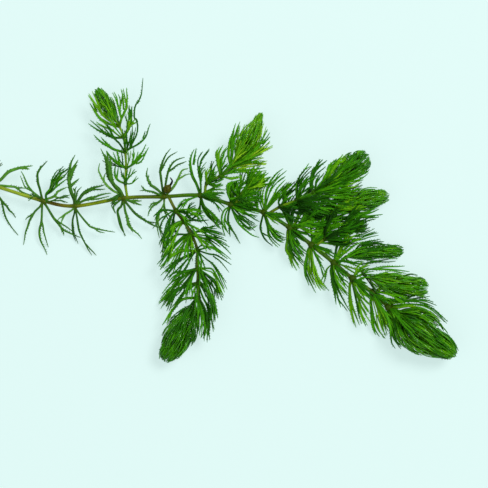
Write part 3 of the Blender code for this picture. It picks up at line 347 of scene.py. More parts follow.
# Leaves that show one by one: how much higher a leaf's tip is than its node, in millimetres,
# its thickness, its plan, and the plans of its side tines. A plan lists its places across,down
PLACED_LEAVES = {
    "main_whorl_01": [
        (3, 2.3, [0,180, 9,171.5, 24,167, 33,166], [20,168, 26,168.5, 30,169.5]),
        (-5, 1.5, [2,185.5, 14,187, 24,187.5], [14,187, 20,191, 29,195]),
        (-6.2, 1.5, [-5,192, 0,200, 7,209, 13.5,217], [0,200, 2.5,213, 7,223, 15.5,235]),
        (5, 1.2, [-7,176, -4,167, 3,160.5]),
        (2, 1.2, [-14,178, -25,168, -30,155]),
        (-6.2, 1.2, [-14,192, -25,203, -30,217]),
        (3, 1.2, [-11,196, -13,212, -9,229]),
        (9, 1.2, [-12,184, -19,180, -27,181]),
    ],
    "main_whorl_02": [
        (4, 1.5, [40,190, 37.5,180, 39,171, 47.5,161.5], [38.8,172, 40,169, 41,166]),
        (2, 1.5, [38,196, 31,190.5, 26.5,183, 21.5,171], [31,190.5, 25,187, 20.5,176]),
        (-6.2, 1.5, [40,206, 33,213, 25,229, 21.5,245], [33,213, 28,216, 24.5,219.5]),
        (-6.6, 1.4, [41.5,208, 40.5,222, 38.3,229, 39,239, 44.5,254.5], [40.5,220, 43,232, 46.7,247]),
        (-5, 1.5, [46,206, 53,218, 60,227, 66,232, 79,237.5], [53,218, 61,224, 71,231],
         [60,227, 61.5,231, 63,235]),
        (6, 1.5, [47,199, 54,196.5, 59,192, 68,188], [54,196.5, 63,198, 71,195.5]),
        (9, 1, [46,202, 56,200, 63,199, 72,201]),
        (8, 1, [40,198, 35,196, 30,198]),
    ],
    "main_whorl_03": [
        (3, 2.2, [74.5,201, 71.4,193, 69.4,184, 69.4,173.7, 71.4,163.5, 75.5,155.3],
         [69.6,175, 73.5,168, 78.8,160], [70,180, 73.5,171, 77.4,165], [70.3,186.5, 74,183, 78.8,178.8]),
        (9, 1.2, [76,200, 77,192, 81,186.5]),
        (4, 1.9, [78,201, 83,194, 90,189.5, 104.7,185], [83,194, 92,190, 105.4,189.3]),
        (7, 1.5, [83,201, 97.7,196.3, 112,193.5], [85,200.4, 97,199, 110,196.5]),
        (6, 1.5, [72.5,209.6, 65.4,214.6, 58.8,220], [66,214, 63.5,219, 62,224.4]),
        (-6.6, 1.4, [74,213, 71.8,221, 72.5,234, 76,244]),
        (-6.2, 1.5, [76,214, 78.8,232, 85,246, 90,255.3], [83.5,243, 89,249, 94.6,255.3]),
        (-2, 1.5, [77,211, 86.5,223, 94,228, 114.4,232], [92,227, 98,231, 104,233]),
    ],
    "main_whorl_04": [
        (1, 1.6, [118.5,193.5, 112,190, 104,181.5, 99,172, 98.7,168, 100,163],
         [104,181, 104,177, 105.5,173]),
        (4, 2.2, [121,193, 116,188, 112,182, 108,174, 106.5,162, 101.5,149], [106.5,166, 108,158, 107,151]),
        (8, 2, [120,190, 113,183, 110.5,172, 110,162, 107,153]),
        (-6.6, 1.6, [121,206, 117,211, 119.4,226, 124.4,235.4], [117,211, 121,226, 123.6,236]),
        (-6.2, 1.5, [124,205, 125.5,214, 130,226.5, 141,238.5], [125.5,214, 127.5,225, 132,232]),
        (-2, 1.5, [127,204, 137.8,216, 153,225, 162,228], [136,214, 146,221, 157,223]),
        (3, 1.9, [130,201, 144,203.6]),
        (6, 1.2, [118,202, 113,206, 115,212]),
        (5, 2, [119,195, 115,199, 108,203]),
    ],
    "main_whorl_05": [
        (2, 1.8, [158,190, 150.4,184, 147,176, 147.5,168.5], [151,185, 148.5,180, 149,175]),
        (6, 1.5, [155,193, 146,190.5, 140.5,191.3], [146,190.5, 144,189, 141.9,186]),
        (3, 1.6, [162,186, 160.7,169.5, 165,157, 170.7,149], [160.9,171, 168,158, 177.4,152]),
        (7, 1.6, [165.7,184, 169,170, 176,161, 184.8,158], [168.5,172, 178,165.5, 186.5,162]),
        (4, 1.5, [172,189, 178,180, 184,176, 190,174], [176,183, 182,171, 188,168.5]),
        (2, 1.4, [160,201, 151,208, 147.7,216], [158,202.5, 152,204, 148.6,208]),
        (-6.2, 1.4, [164,203, 161,209, 158,216, 157,224, 160.5,240]),
        (-6.6, 1.4, [164,206, 166,213, 171,222]),
    ],
    "main_whorl_06": [
        (3, 1.8, [199,191, 196,183, 192,175, 190.5,164, 192,155, 194,150],
         [193.5,165, 194.5,158, 196.7,148.5]),
        (7, 1.3, [201,187, 199.5,170, 199.5,163, 201.5,158, 208,149]),
        (9, 1, [201,178, 202,172, 207,168]),
        (5, 1.2, [193,198, 184,202, 177,211]),
        (-4, 1.3, [203,203, 205,207, 212,213, 218,220, 227,233]),
        (-7.5, 1.6, [202,204, 205,212, 215,223, 221,224], [205,212, 212,217, 222,225]),
        (-7.2, 1.1, [200,205, 199,215, 206,226]),
        (2, 1.2, [207,191, 216,188, 226,187]),
        (5, 1.2, [206,199, 217,203, 226,211]),
    ],
    "main_whorl_07": [
        (-4, 1.3, [229,207, 224,210.5, 221.5,219, 224,227, 229,234], [222,226, 225,236]),
        (-7.5, 1.4, [229.5,209, 228,217, 229,224, 238,238.5], [229,225, 230,236.5], [233,231, 240.5,243.5]),
        (1, 1.4, [232,209, 234,214, 238,222, 250,234, 259,237.5], [241,225.5, 252,228, 257,225.5]),
        (3, 1.2, [234,208.5, 239,214, 245,219, 257,229.5]),
        (5, 1.2, [236,208, 242,212, 254,219, 259,222], [245,213.5, 251,215, 257,216.5]),
        (6, 1.5, [236,205, 246,207, 258,209]),
        (4, 1.8, [237,202, 246,202, 256,203]),
        (5, 1.8, [235,200, 242,196, 252,192]),
        (2, 1.6, [233,198, 236,190, 242,183]),
        (1, 1.6, [230,198, 229,190, 233,182]),
    ],
    "main_whorl_08": [
        (-7.5, 1.3, [262.5,217, 260.5,226, 261,231, 265,239, 272.5,246], [262.5,233, 268,236, 271,237.5]),
        (-4, 1.2, [265,218, 267.5,227, 270,237, 280,247]),
        (1, 1.2, [266,220, 269,226, 277,237, 282,241, 288,240]),
        (3, 1.2, [267,219, 271,228, 280,236.5, 285,238.5]),
        (3, 1.8, [265,206, 266,194, 269,184, 275,175, 283,169], [268,188, 274,181, 286,171]),
        (5, 1.4, [268,205, 273,197, 279,189, 291,179]),
        (7, 1.3, [270,206, 278,197, 285,188, 295,180]),
        (1, 1.2, [264,208, 262,200, 261,192, 263,186]),
        (3, 1.5, [258,209, 256,200, 257,191]),
        (2, 1.6, [270,215, 277,218, 284,222]),
    ],
    "main_whorl_09": [
        (-7.5, 1.7, [287.5,232, 287.5,240, 286.7,249, 293,259, 300,271]),
        (-4, 1.3, [290,234, 290.5,243, 292,250, 305,265]),
        (1, 1.3, [290,236, 291.5,243, 296,251, 304,259.5]),
        (3, 1.7, [292,236, 295,242, 299,247, 306,255]),
        (1, 1.5, [289,222, 286,212, 285,204, 288,195]),
        (3, 1.5, [290,222, 289,211, 290,202, 296,192]),
        (5, 1.6, [292,222, 293,212, 296,203, 303,194]),
        (4, 1.6, [295,223, 299,213, 304,204, 312,196]),
        (6, 1.6, [297,226, 304,217, 311,209, 321,203]),
        (2, 1.5, [298,228, 307,222, 318,217, 330,215]),
        (4, 1.6, [294,226, 301,228, 310,231, 322,232]),
        (2, 1.5, [294,229, 301,232, 309,234, 318,238]),
    ],
    "main_whorl_10": [
        (-7.5, 1.8, [308,250, 307,256, 305,271, 309.5,286], [306,272, 310.5,282, 316,293]),
        (-4, 1.2, [309,252, 309.5,258, 309,268, 311.5,276, 318,287]),
        (1, 1.2, [311,253, 312,260, 315,274, 329,295]),
        (3, 1.2, [312,253, 313,262, 316,276, 323,288]),
        (5, 1.1, [315,255, 319,262, 326,278]),
        (1, 1.5, [312,238, 311,228, 313,217, 320,206]),
        (3, 1.6, [314,239, 317,228, 323,217, 332,208]),
        (4, 1.7, [316,240, 323,231, 332,223, 344,217]),
        (5, 1.7, [318,241, 328,235, 340,230, 353,228]),
        (2, 1.6, [319,242, 330,239, 342,236, 356,236]),
        (4, 1.6, [315,240, 322,236, 332,233, 345,231]),
        (2, 1.6, [316,243, 325,243, 338,244, 352,241]),
        (5, 1.6, [314,236, 318,228, 327,221, 341,219]),
        (3, 1.6, [318,234, 328,229, 340,226, 352,226]),
    ],
    "main_whorl_11": [
        (-7.5, 1.2, [328,268, 326,273, 324,279, 322,287]),
        (-6, 1.9, [331,270, 332,276, 336,293, 340,311.5]),
        (1, 1.2, [333,273, 334,281, 341,296, 350,311], [337,297, 341,303, 347,311]),
        (3, 1.2, [335,277, 339,285, 349,296]),
        (5, 1.1, [337,272, 342,279, 350,288]),
        (2, 1.7, [335,256, 337,246, 342,236, 350,227]),
        (4, 1.7, [337,256, 341,247, 348,238, 358,232]),
        (5, 1.6, [340,257, 346,250, 354,243, 363,239]),
        (3, 1.5, [342,260, 350,255, 358,251, 368,249]),
    ],
    "main_whorl_12": [
        (-7.5, 1.9, [350,285, 350,293, 352,307, 360,330]),
        (-4, 1.2, [353,286, 355,294, 359,311, 366,330]),
        (1, 1.2, [355,290, 358,298, 363,313, 371,325]),
        (3, 1.2, [356,290, 360,297, 372,311]),
        (5, 1.2, [358,288, 364,296, 372,304]),
        (3, 1.4, [356,272, 360,266, 367,262]),
        (4, 1.4, [358,276, 366,273, 376,272]),
    ],
    "main_whorl_13": [
        (-7.5, 1.9, [371,300, 372,310, 376,326, 387,342.5]),
        (-4, 1.7, [375,301, 379,311, 384,327, 390,340]),
        (1, 1.5, [377,303, 383,311, 388,320, 390,328]),
        (3, 1.6, [380,305, 386,315, 392,328, 396,342]),
    ],
    "main_whorl_14": [
        (-7.5, 1.4, [388,314, 391,330, 395,343, 403,354.5]),
        (-6, 1.5, [390,316, 394,331, 400,343, 408,354]),
        (-1, 1.8, [393,320, 400,337, 410,351.5]),
        (3, 1.3, [393,303.5, 405,301.5, 414,301, 425,302.5, 437,308]),
        (5, 1.2, [396,305, 412,304, 430,308, 446,325]),
        (6, 1.5, [397,308, 410,306, 426,311, 441,323]),
    ],
    "shoot_a_bud": [
        (1, 1.2, [49,192, 53,180.8, 57,173.7, 65.3,167.6]),
        (2, 1.2, [50,190, 56,180, 62,172, 70,165.5]),
        (2.5, 1.1, [51,191, 57,182, 64,175.5, 69,168]),
        (0, 1.2, [52,191.5, 59,184, 66.3,176.7]),
        (1.5, 1.1, [50,191, 54,184, 60,177, 66,172]),
    ],
    "shoot_b_whorl_1": [
        (0, 1.7, [121,182, 117,179, 115,172, 116,163], [117,178, 118.5,167]),
        (3, 1, [130,184, 134,182, 139,178.5], [133,182, 137,177]),
        (5, 1, [127.5,180, 131,174, 134,167]),
    ],
    "shoot_b_whorl_2": [
        (1, 1.8, [121,165.5, 117,163, 111,157, 107.5,151.5], [119,164, 119,158, 117,152]),
        (-7, 1, [120,167, 112,164, 101,158]),
        (2, 1.4, [131,166, 134,164, 140,159, 145,154, 149,148], [136,162.5, 142,153, 146.5,145],
         [136,164, 142,161, 147,153]),
        (6, 0.9, [128.5,164, 130,158, 131,151]),
    ],
    "shoot_b_whorl_3": [
        (1, 1.7, [119,151, 113,149, 101,141.5, 94.5,135.5], [112,148, 106,143, 101.5,137.5]),
        (4, 1.2, [120,144, 116,140, 108,129, 104,123]),
        (2, 1.2, [130,149, 139,144, 146,137, 150.5,124.5], [143,139, 145.4,131.6]),
        (4, 1.1, [131,147, 133.5,142, 136.5,136, 138,130, 137.6,121, 134.5,118.5, 135.5,107.5,
          141.5,98, 143,90, 143.3,79.5], [138,104.5, 141.5,96]),
        (6, 1.1, [130,148, 132,143, 134,132, 134.5,124]),
        (-8, 0.9, [130,148, 130.5,140, 130.5,134]),
    ],
    "shoot_b_whorl_4": [
        (1, 1.5, [118,138, 112,137, 101,132, 89,124.5], [112,136, 103,131, 91,121]),
        (4, 1.2, [119,136, 113,131, 106,127, 96,120.5]),
        (3, 1.9, [127,131.5, 130,126, 131.5,118, 132.5,107], [130.5,120, 130,112, 129.4,106]),
        (5, 1.6, [128,131, 131,124, 134.5,119.5, 138,118.5]),
        (-7, 0.9, [127,130, 127.5,122, 127,113]),
    ],
    "shoot_b_whorl_5": [
        (0, 1.8, [112,125, 104,121, 98,116, 90,103.5], [97,112, 93,103.5]),
        (3, 1.4, [113,123, 106,118, 101,111, 91,92]),
        (2, 1.5, [121.5,119, 120,113, 118.5,100, 115.5,91.5]),
        (4, 1.6, [121.5,119, 127,108, 126,102, 124.3,90], [124,110, 123.5,97, 121.5,90],
         [126.5,107, 127.5,98, 127.3,89]),
    ],
    "shoot_c_whorl_1": [
        (2, 1.2, [178,208, 182,203, 187,199.5]),
        (4, 1.2, [180,210, 185,212, 193,221]),
        (5, 1.1, [186,213, 189,208, 198,201.5]),
        (1, 1.3, [172,210.5, 165,210, 159,212, 154.5,222]),
        (-7, 1.2, [171,212, 164,217, 160,221, 154,230]),
        (3, 1.4, [172,215, 169,224, 167,234, 165,246]),
    ],
    "shoot_c_whorl_2": [
        (3, 1.6, [187,221, 194,220, 202,221, 209,220], [192,219, 199,214, 204,212]),
        (5, 1.2, [188,213, 192,210, 203,210]),
        (4, 1.9, [180,222, 174,226, 171,232, 167,239]),
        (-5, 1.4, [178,222, 168,228, 163,238, 159.5,256]),
        (2, 1.5, [178,224, 170,231, 163,247]),
        (4, 1.4, [179,228, 175,238, 171,248, 167,262]),
    ],
    "shoot_c_whorl_3": [
        (3, 1.7, [194,233, 200,230.5, 206,228.5, 222,231.5]),
        (5, 1.2, [196,232, 203,232, 209,236, 231,245.5]),
        (0, 1.3, [194,235.5, 201,238, 214,239.5, 231,254], [206,240, 214,246, 231,259]),
        (-5, 1.2, [198,238, 203,242, 208,247]),
        (2, 1.3, [185,234.5, 176,235, 168,243, 160,257]),
        (-5, 1.4, [184,236, 178,241, 170,250, 161,263]),
        (4, 1.5, [186,237, 178,243, 170,252, 160,268]),
        (1, 1.4, [186,240, 181,250, 176,262, 170,276]),
    ],
    "shoot_c_whorl_4": [
        (3, 1.3, [200,249.5, 206,248, 212,247.5, 228,258]),
        (6, 1, [198.5,247.5, 203,245, 208,248]),
        (0, 1.3, [201,251.5, 209,254, 218,256, 231,265], [213,256, 220,261, 229,272]),
        (-7, 1.2, [200,253.5, 206,259, 214,266, 226,287]),
        (3, 1.8, [194,251, 184,250.5, 175,254, 160.5,266], [172,256, 166,262, 160.5,269]),
        (-5, 1.2, [194,253, 186,257, 178,261, 160.7,274]),
        (5, 1.5, [193,253, 184,257, 174,265, 163,280]),
        (2, 1.4, [192,256, 187,266, 181,276, 172,288]),
    ],
    "shoot_c_whorl_5": [
        (3, 1.3, [200,268, 207,268.5, 213,270, 224,289], [216,271, 221,276, 227,289]),
        (0, 1.3, [201,270.5, 209,276, 215,282, 224,304]),
        (-7, 1.3, [201,272, 205,277, 212,288, 216,300]),
        (3, 1.8, [194,269.5, 184,272, 174,275, 165,283]),
        (-5, 1.3, [190,272, 182,278, 170,290, 159,307]),
        (1, 1.5, [193,272, 186,282, 178,292, 168,300]),
    ],
    "shoot_c_whorl_6": [
        (2, 1.8, [200,282.5, 206,289, 213,300, 217,323]),
        (4, 1.4, [201,284, 208,294, 212,306, 212.5,323]),
        (-5, 1.3, [199,287, 203,298, 208,309, 211,336]),
        (3, 1.6, [194,283.5, 184,287, 175,293, 166,311]),
        (-5, 1.4, [187,286, 180,289, 172,292, 159,307]),
        (5, 1.4, [192,287, 185,292, 179,300, 169,313]),
    ],
    "shoot_c_whorl_7": [
        (2, 1.7, [194,298, 186,298.5, 178,303, 162.5,324.5], [172,309, 170,316, 167,323]),
        (2, 1.4, [200,301, 203,311, 206,322, 205,343]),
        (4, 1.4, [202,303, 206,312, 208,322, 205.5,341]),
    ],
    "shoot_d_bud": [
        (-2, 1.2, [250,156, 261,149, 270,139]),
        (-1, 1.2, [240,165, 252,158, 264,149]),
        (0, 1.1, [254,150, 261,138, 265,124]),
    ],
    "shoot_d_whorl_1": [
        (3, 1.3, [207,180, 210,176, 217,169]),
        (1, 1.2, [210,185, 216,187, 222,187]),
        (5, 1.3, [209,183, 213,179, 218,177]),
    ],
    "shoot_d_whorl_2": [
        (1, 1.7, [219.5,171, 218,165, 217.5,157, 218.5,152, 223.5,143]),
        (3, 1.5, [221,172, 221.5,164, 224,154, 229,147], [222,167, 225,160, 229,154]),
        (4, 1, [223,169, 226,166, 230,164]),
        (2, 1.6, [224,177, 230,178.5, 236,178, 243,176]),
    ],
    "shoot_d_whorl_3": [
        (1, 2, [230,163, 228.5,155, 229.5,145, 231.5,137, 236,124], [231,148, 235.5,134, 240,122.5]),
        (3, 1.9, [231,162, 232,154, 233,143, 236,133, 238,126]),
        (0, 1.4, [236,163, 240,154, 241,142, 246,124]),
        (2, 1.5, [235,165, 245,160, 255,155, 272,144.5]),
        (4, 1.4, [235,164, 247,156, 258,147, 268,134, 270,128]),
        (5, 1.4, [236,166, 248,162.5, 258,160, 268,158.5]),
        (1, 1.4, [236,167, 248,165, 267,161.5], [238,169, 250,167, 266,164.5]),
        (0, 1.4, [237,170, 250,170, 265,168], [238,172, 250,172.5, 266,171]),
    ],
    "shoot_e_bud": [
        (0.5, 1.4, [254,183, 261,179, 271,175]),
        (0, 1.4, [255,185.5, 262,182, 269,179]),
        (-0.5, 1.3, [256,187, 262,186, 268,184]),
        (-1, 1.3, [255,189, 261,190, 266,191]),
        (1, 1.4, [252,181, 257,177, 265,172]),
        (1, 1.3, [250,182, 254,176, 260,170]),
        (-1, 1.3, [254,191, 258,196, 262,200]),
        (1.5, 1.3, [252,184, 258,181, 264,177]),
        (1, 1.3, [247,182, 249,177, 254,173]),
        (1.5, 1.3, [253,187, 258,185, 263,182]),
    ],
    "shoot_e_whorl_1": [
        (1, 1.6, [230,199, 228.5,191, 230.5,184, 243,179]),
        (3, 1.5, [236,197, 240,188, 248,181, 266,171]),
        (4, 1.5, [240,196, 247,190, 255,184, 268,177]),
        (2, 1.4, [243,198, 250,193, 262,186]),
        (0, 1.4, [245,200, 252,196, 258,193]),
        (-1, 1.5, [245,199, 253,200, 262,200]),
        (-2, 1.5, [243,202, 251,206, 260,207]),
        (2, 1.6, [234,194, 233,187, 237,181]),
    ],
    "shoot_f_whorl_1": [
        (2, 1.6, [284,203, 283,197, 285,190, 295,181]),
        (4, 1.3, [285,204, 287,196, 293,189, 299,186]),
        (-2, 1.5, [284,211, 289,216, 297,219, 308,221]),
        (-7, 1.4, [283,212, 286,217, 289,222, 296,226]),
        (1, 1.5, [287,209, 294,212, 302,213, 314,213]),
        (4, 1.4, [288,207, 297,207, 306,207, 318,206]),
    ],
    "shoot_f_whorl_2": [
        (1, 1.4, [296,196, 296,187, 299,178, 308,164], [300,176, 305,170, 310,167]),
        (3, 1.3, [299,192, 300,184, 303,177, 311,169]),
        (5, 1.2, [300,195, 306,188, 311,184]),
        (-5, 1.5, [299,206, 304,212, 312,217, 322,221]),
        (-1, 1.6, [301,205, 308,210, 318,213, 330,215]),
        (2, 1.6, [303,202, 312,205, 322,207, 334,207]),
        (4, 1.5, [304,200, 314,200, 324,199, 334,197]),
    ],
    "shoot_f_whorl_3": [
        (1, 1.9, [311,189, 310,182, 312,175, 315,169, 324.5,160.5]),
        (3, 1.4, [315,187, 316,182, 323,172]),
        (-5, 1.5, [315,198, 320,204, 328,209, 340,212]),
        (0, 1.6, [317,197, 325,201, 335,204, 348,205]),
        (2, 1.6, [319,195, 328,197, 338,198, 352,197]),
        (4, 1.6, [320,192, 330,191, 340,188, 352,184]),
        (3, 1.5, [319,189, 326,184, 334,179, 343,175]),
    ],
    "shoot_f_whorl_4": [
        (1, 2, [323,181, 327,173, 330,166, 339,158]),
        (3, 1.6, [328,180, 331,172, 336,165, 348,155]),
        (-5, 1.5, [331,190, 338,196, 346,200, 357,202]),
        (0, 1.6, [333,189, 342,192, 351,193, 361,191]),
        (2, 1.6, [334,187, 344,187, 353,185, 362,181]),
        (3, 1.6, [334,184, 343,181, 352,177, 361,173]),
    ],
    "shoot_h_whorl_2": [
        (1, 1.9, [345,223, 356,216.5, 370,214.5, 381,211.5]),
        (2, 1.3, [350,226, 362,222.5, 370,219, 380,217]),
        (0, 1.2, [352,232, 362,230, 368,226, 373,223]),
        (-2, 1.2, [345,239, 358,239.5, 368,236.5, 381,233.5]),
        (3, 1.6, [350,228, 360,227, 367,226]),
    ],
    "shoot_i_bud": [
        (2, 1.5, [352,256, 358,246.5, 366,242.5, 380,240, 388,238]),
        (-3, 1.2, [350,262, 362,264, 376,262, 398,260]),
        (1, 1.5, [352,254, 364,246, 378,243, 391,244.5]),
    ],
    "shoot_j_bud": [
        (-6, 1.4, [362,270.5, 375,269, 392,268.5, 410,269.5]),
        (-3, 1.4, [380,296, 395,300, 412,297, 431,293.5]),
        (-4, 1, [385,300, 400,302, 420,296, 436,298]),
    ],
}

# The stage: the picture is square, and shows this many squares of the plan grid each way
PICTURE_SQUARES = 488
PICTURE_HEIGHT = 8  # millimetres: the height at which the plan grid has its true size
LENS = 120.0
SENSOR = 36.0
FLOOR_SIZE = 4.0
FLOOR_COLOUR = (121, 132, 130)
FLOOR_GLOW = (225, 250, 247)
FLOOR_GLOW_STRENGTH = 0.72
FLOOR_ROUGHNESS = 0.9
ROOM_COLOUR = (0.8, 0.97, 0.95, 1)
ROOM_STRENGTH = 0.4
# For each light: its place, width and power
LIGHTS = {"key_light": ((1.0, 0.9, 2.0), 1.0, 48.0), "fill_light": ((-1.2, -0.6, 1.8), 2.4, 12.0)}

# Colour stops: a place from 0 to 1, then red, green and blue, or one grey value
LEAF_GREENS = [
    (0.0, 16, 56, 0), (0.35, 36, 102, 0), (0.65, 68, 144, 2), (0.9, 112, 172, 12), (1.0, 144, 188, 36),
]
OLD_GREENS = [
    (0.0, 34, 76, 16), (0.35, 56, 108, 26), (0.65, 84, 142, 42), (0.9, 116, 166, 60), (1.0, 140, 180, 80),
]
FILM = [(0.64, 0.0), (0.7, 0.4)]
BUD_FILM = [(0.52, 0.0), (0.56, 1.0)]
# For each leaf material: its greens, its root's colour, how far along the leaf that reaches,
# how light the painted shade leaves the root end, and its patches of wet film. On whorl leaves the root's
# colour is the node's own brown; on a bud's leaves it is a near-black painted shade
LEAF_LOOKS = {
    "old_leaf": (OLD_GREENS, (64, 80, 4), 0.12, 0.8, FILM),
    "wet_leaf": (LEAF_GREENS, (50, 76, 2), 0.12, 0.75, FILM),
    # Painted shade: the bud leaf's near-black root colour stands for the shade deep inside a bud
    "bud_leaf": (LEAF_GREENS, (12, 40, 0), 0.4, 0.8, BUD_FILM),
}
# For each stem: the colour of its nodes, and its colours from its foot to its bud
STEM_LOOKS = {
    "main": ((64, 80, 4), [
        (0.0, 110, 120, 20), (0.12, 140, 162, 40), (0.19, 96, 80, 16), (0.28, 122, 142, 16),
        (0.4, 72, 92, 6), (0.5, 58, 108, 4), (0.62, 40, 84, 0), (0.85, 60, 98, 2), (1.0, 84, 122, 8),
    ]),
    "shoot_b": ((96, 120, 16), [(0.0, 120, 150, 24), (1.0, 124, 176, 40)]),
    "shoot_c": ((58, 60, 4), [(0.0, 90, 104, 12), (0.3, 76, 84, 6), (1.0, 76, 120, 6)]),
    "side": ((64, 76, 6), [(0.0, 90, 110, 12), (0.25, 110, 150, 16), (1.0, 64, 124, 8)]),
}
NUT_MOTTLE = [(0.35, 40, 40, 0), (0.65, 84, 86, 6)]
NUT_SPINE_COLOUR = (14, 8, 14)
SPINE_SHARES = [(0.42, 0.0), (0.6, 1.0)]
STREAK_SHADES = [(0.3, 0.6), (0.7, 1.3)]
STREAK_STRENGTH = 0.8
PATCH_TONES = 0.6  # how much the patches change a leaf's tone
PAINTED_SHADE_END = 0.6  # how far along a leaf the painted shade at its root reaches; past it the leaf is as bright as its tip

# Skin patterns: their stretch round and along the skin, their scale and their detail
LEAF_STREAKS = ((1.6, 1.6, 0.25), 1.5, 3.0)
LEAF_PATCHES = ((0.2, 0.2, 0.5), 1.0, 2.0)
FILM_PATCHES = ((0.4, 0.4, 0.35), 1.3, 1.0)
STEM_STREAKS = ((2.5, 2.5, 0.3), 1.2, 3.0)
NUT_SPOTS = ((1.0, 1.0, 1.0), 2.2, 3.0)

# Gloss, roughness, and the strength and depth of the fine relief
LEAF_GLOSS = 0.08
BARK_GLOSS = 0.1
LEAF_ROUGHNESS = [(0.3, 0.4), (0.7, 0.6)]
FILM_ROUGHNESS = 0.18
STEM_ROUGHNESS = 0.42
NUT_ROUGHNESS = 0.45
LEAF_RELIEF = (0.4, 0.1 * MM)
STEM_RELIEF = (0.5, 0.2 * MM)
NUT_RELIEF = (0.6, 0.2 * MM)


def place(across, down, height=0.0):
    """The point over a place on the plan grid, at a height in millimetres."""
    x = (across - GRID_MIDDLE[0]) * GRID
    y = (GRID_MIDDLE[1] - down) * GRID
    return np.array([x, y, height * MM])


def places(spots):
    return [place(*spot) for spot in spots]


def plan_places(plan):
    """The points on the floor of a plan, which lists across and down in turn."""
    return places(zip(plan[::2], plan[1::2]))


def unit(vector):
    return vector / np.linalg.norm(vector)


def between(pair, share):
    return pair[0] + (pair[1] - pair[0]) * share


def smooth_path(points, steps):
    """Points of a smooth curve through the given ones, a few to each stretch."""
    ends = [2 * points[0] - points[1], *points, 2 * points[-1] - points[-2]]
    path = []
    for before, start, end, after in zip(ends, ends[1:], ends[2:], ends[3:]):
        for step in range(steps):
            t = step / steps
            bend = 2 * before - 5 * start + 4 * end - after
            twist = 3 * start - before - 3 * end + after
            path.append(start + 0.5 * t * (end - before + t * (bend + t * twist)))
    return np.array([*path, points[-1]])


def lengths_along(path):
    steps = np.linalg.norm(np.diff(path, axis=0), axis=1)
    return np.concatenate([[0.0], np.cumsum(steps)])


def points_at(path, shares):
    """Points at the given shares of a path's length."""
    run = lengths_along(path)
    wanted = np.array(shares) * run[-1]
    return np.array([np.interp(wanted, run, path[:, axis]) for axis in range(3)]).T


def stretch(path, start, end, count):
    return points_at(path, np.linspace(start, end, count))


def headings(path):
    ahead = np.gradient(path, axis=0)
    return ahead / np.linalg.norm(ahead, axis=1)[:, None]


def across_axes(along):
    """Two directions across a stem: level with the floor, and away from it."""
    side = unit(np.array([-along[1], along[0], 0.0]))
    return side, np.cross(along, side)


def turned_out(along, turn):
    """The direction across a stem at an angle from the level one."""
    side, up = across_axes(along)
    return math.cos(turn) * side + math.sin(turn) * up


def level_side(path):
    return across_axes(headings(path)[0])[0]


def lifted(path, half):
    """A path that stays above the floor by half a leaf's width."""
    path = path.copy()
    path[:, 2] = np.maximum(path[:, 2], half)
    return path


def moved_aside(path, side, away):
    return path + away[:, None] * side[None, :]


def ring_angles(sides):
    return np.arange(sides) * 2 * math.pi / sides


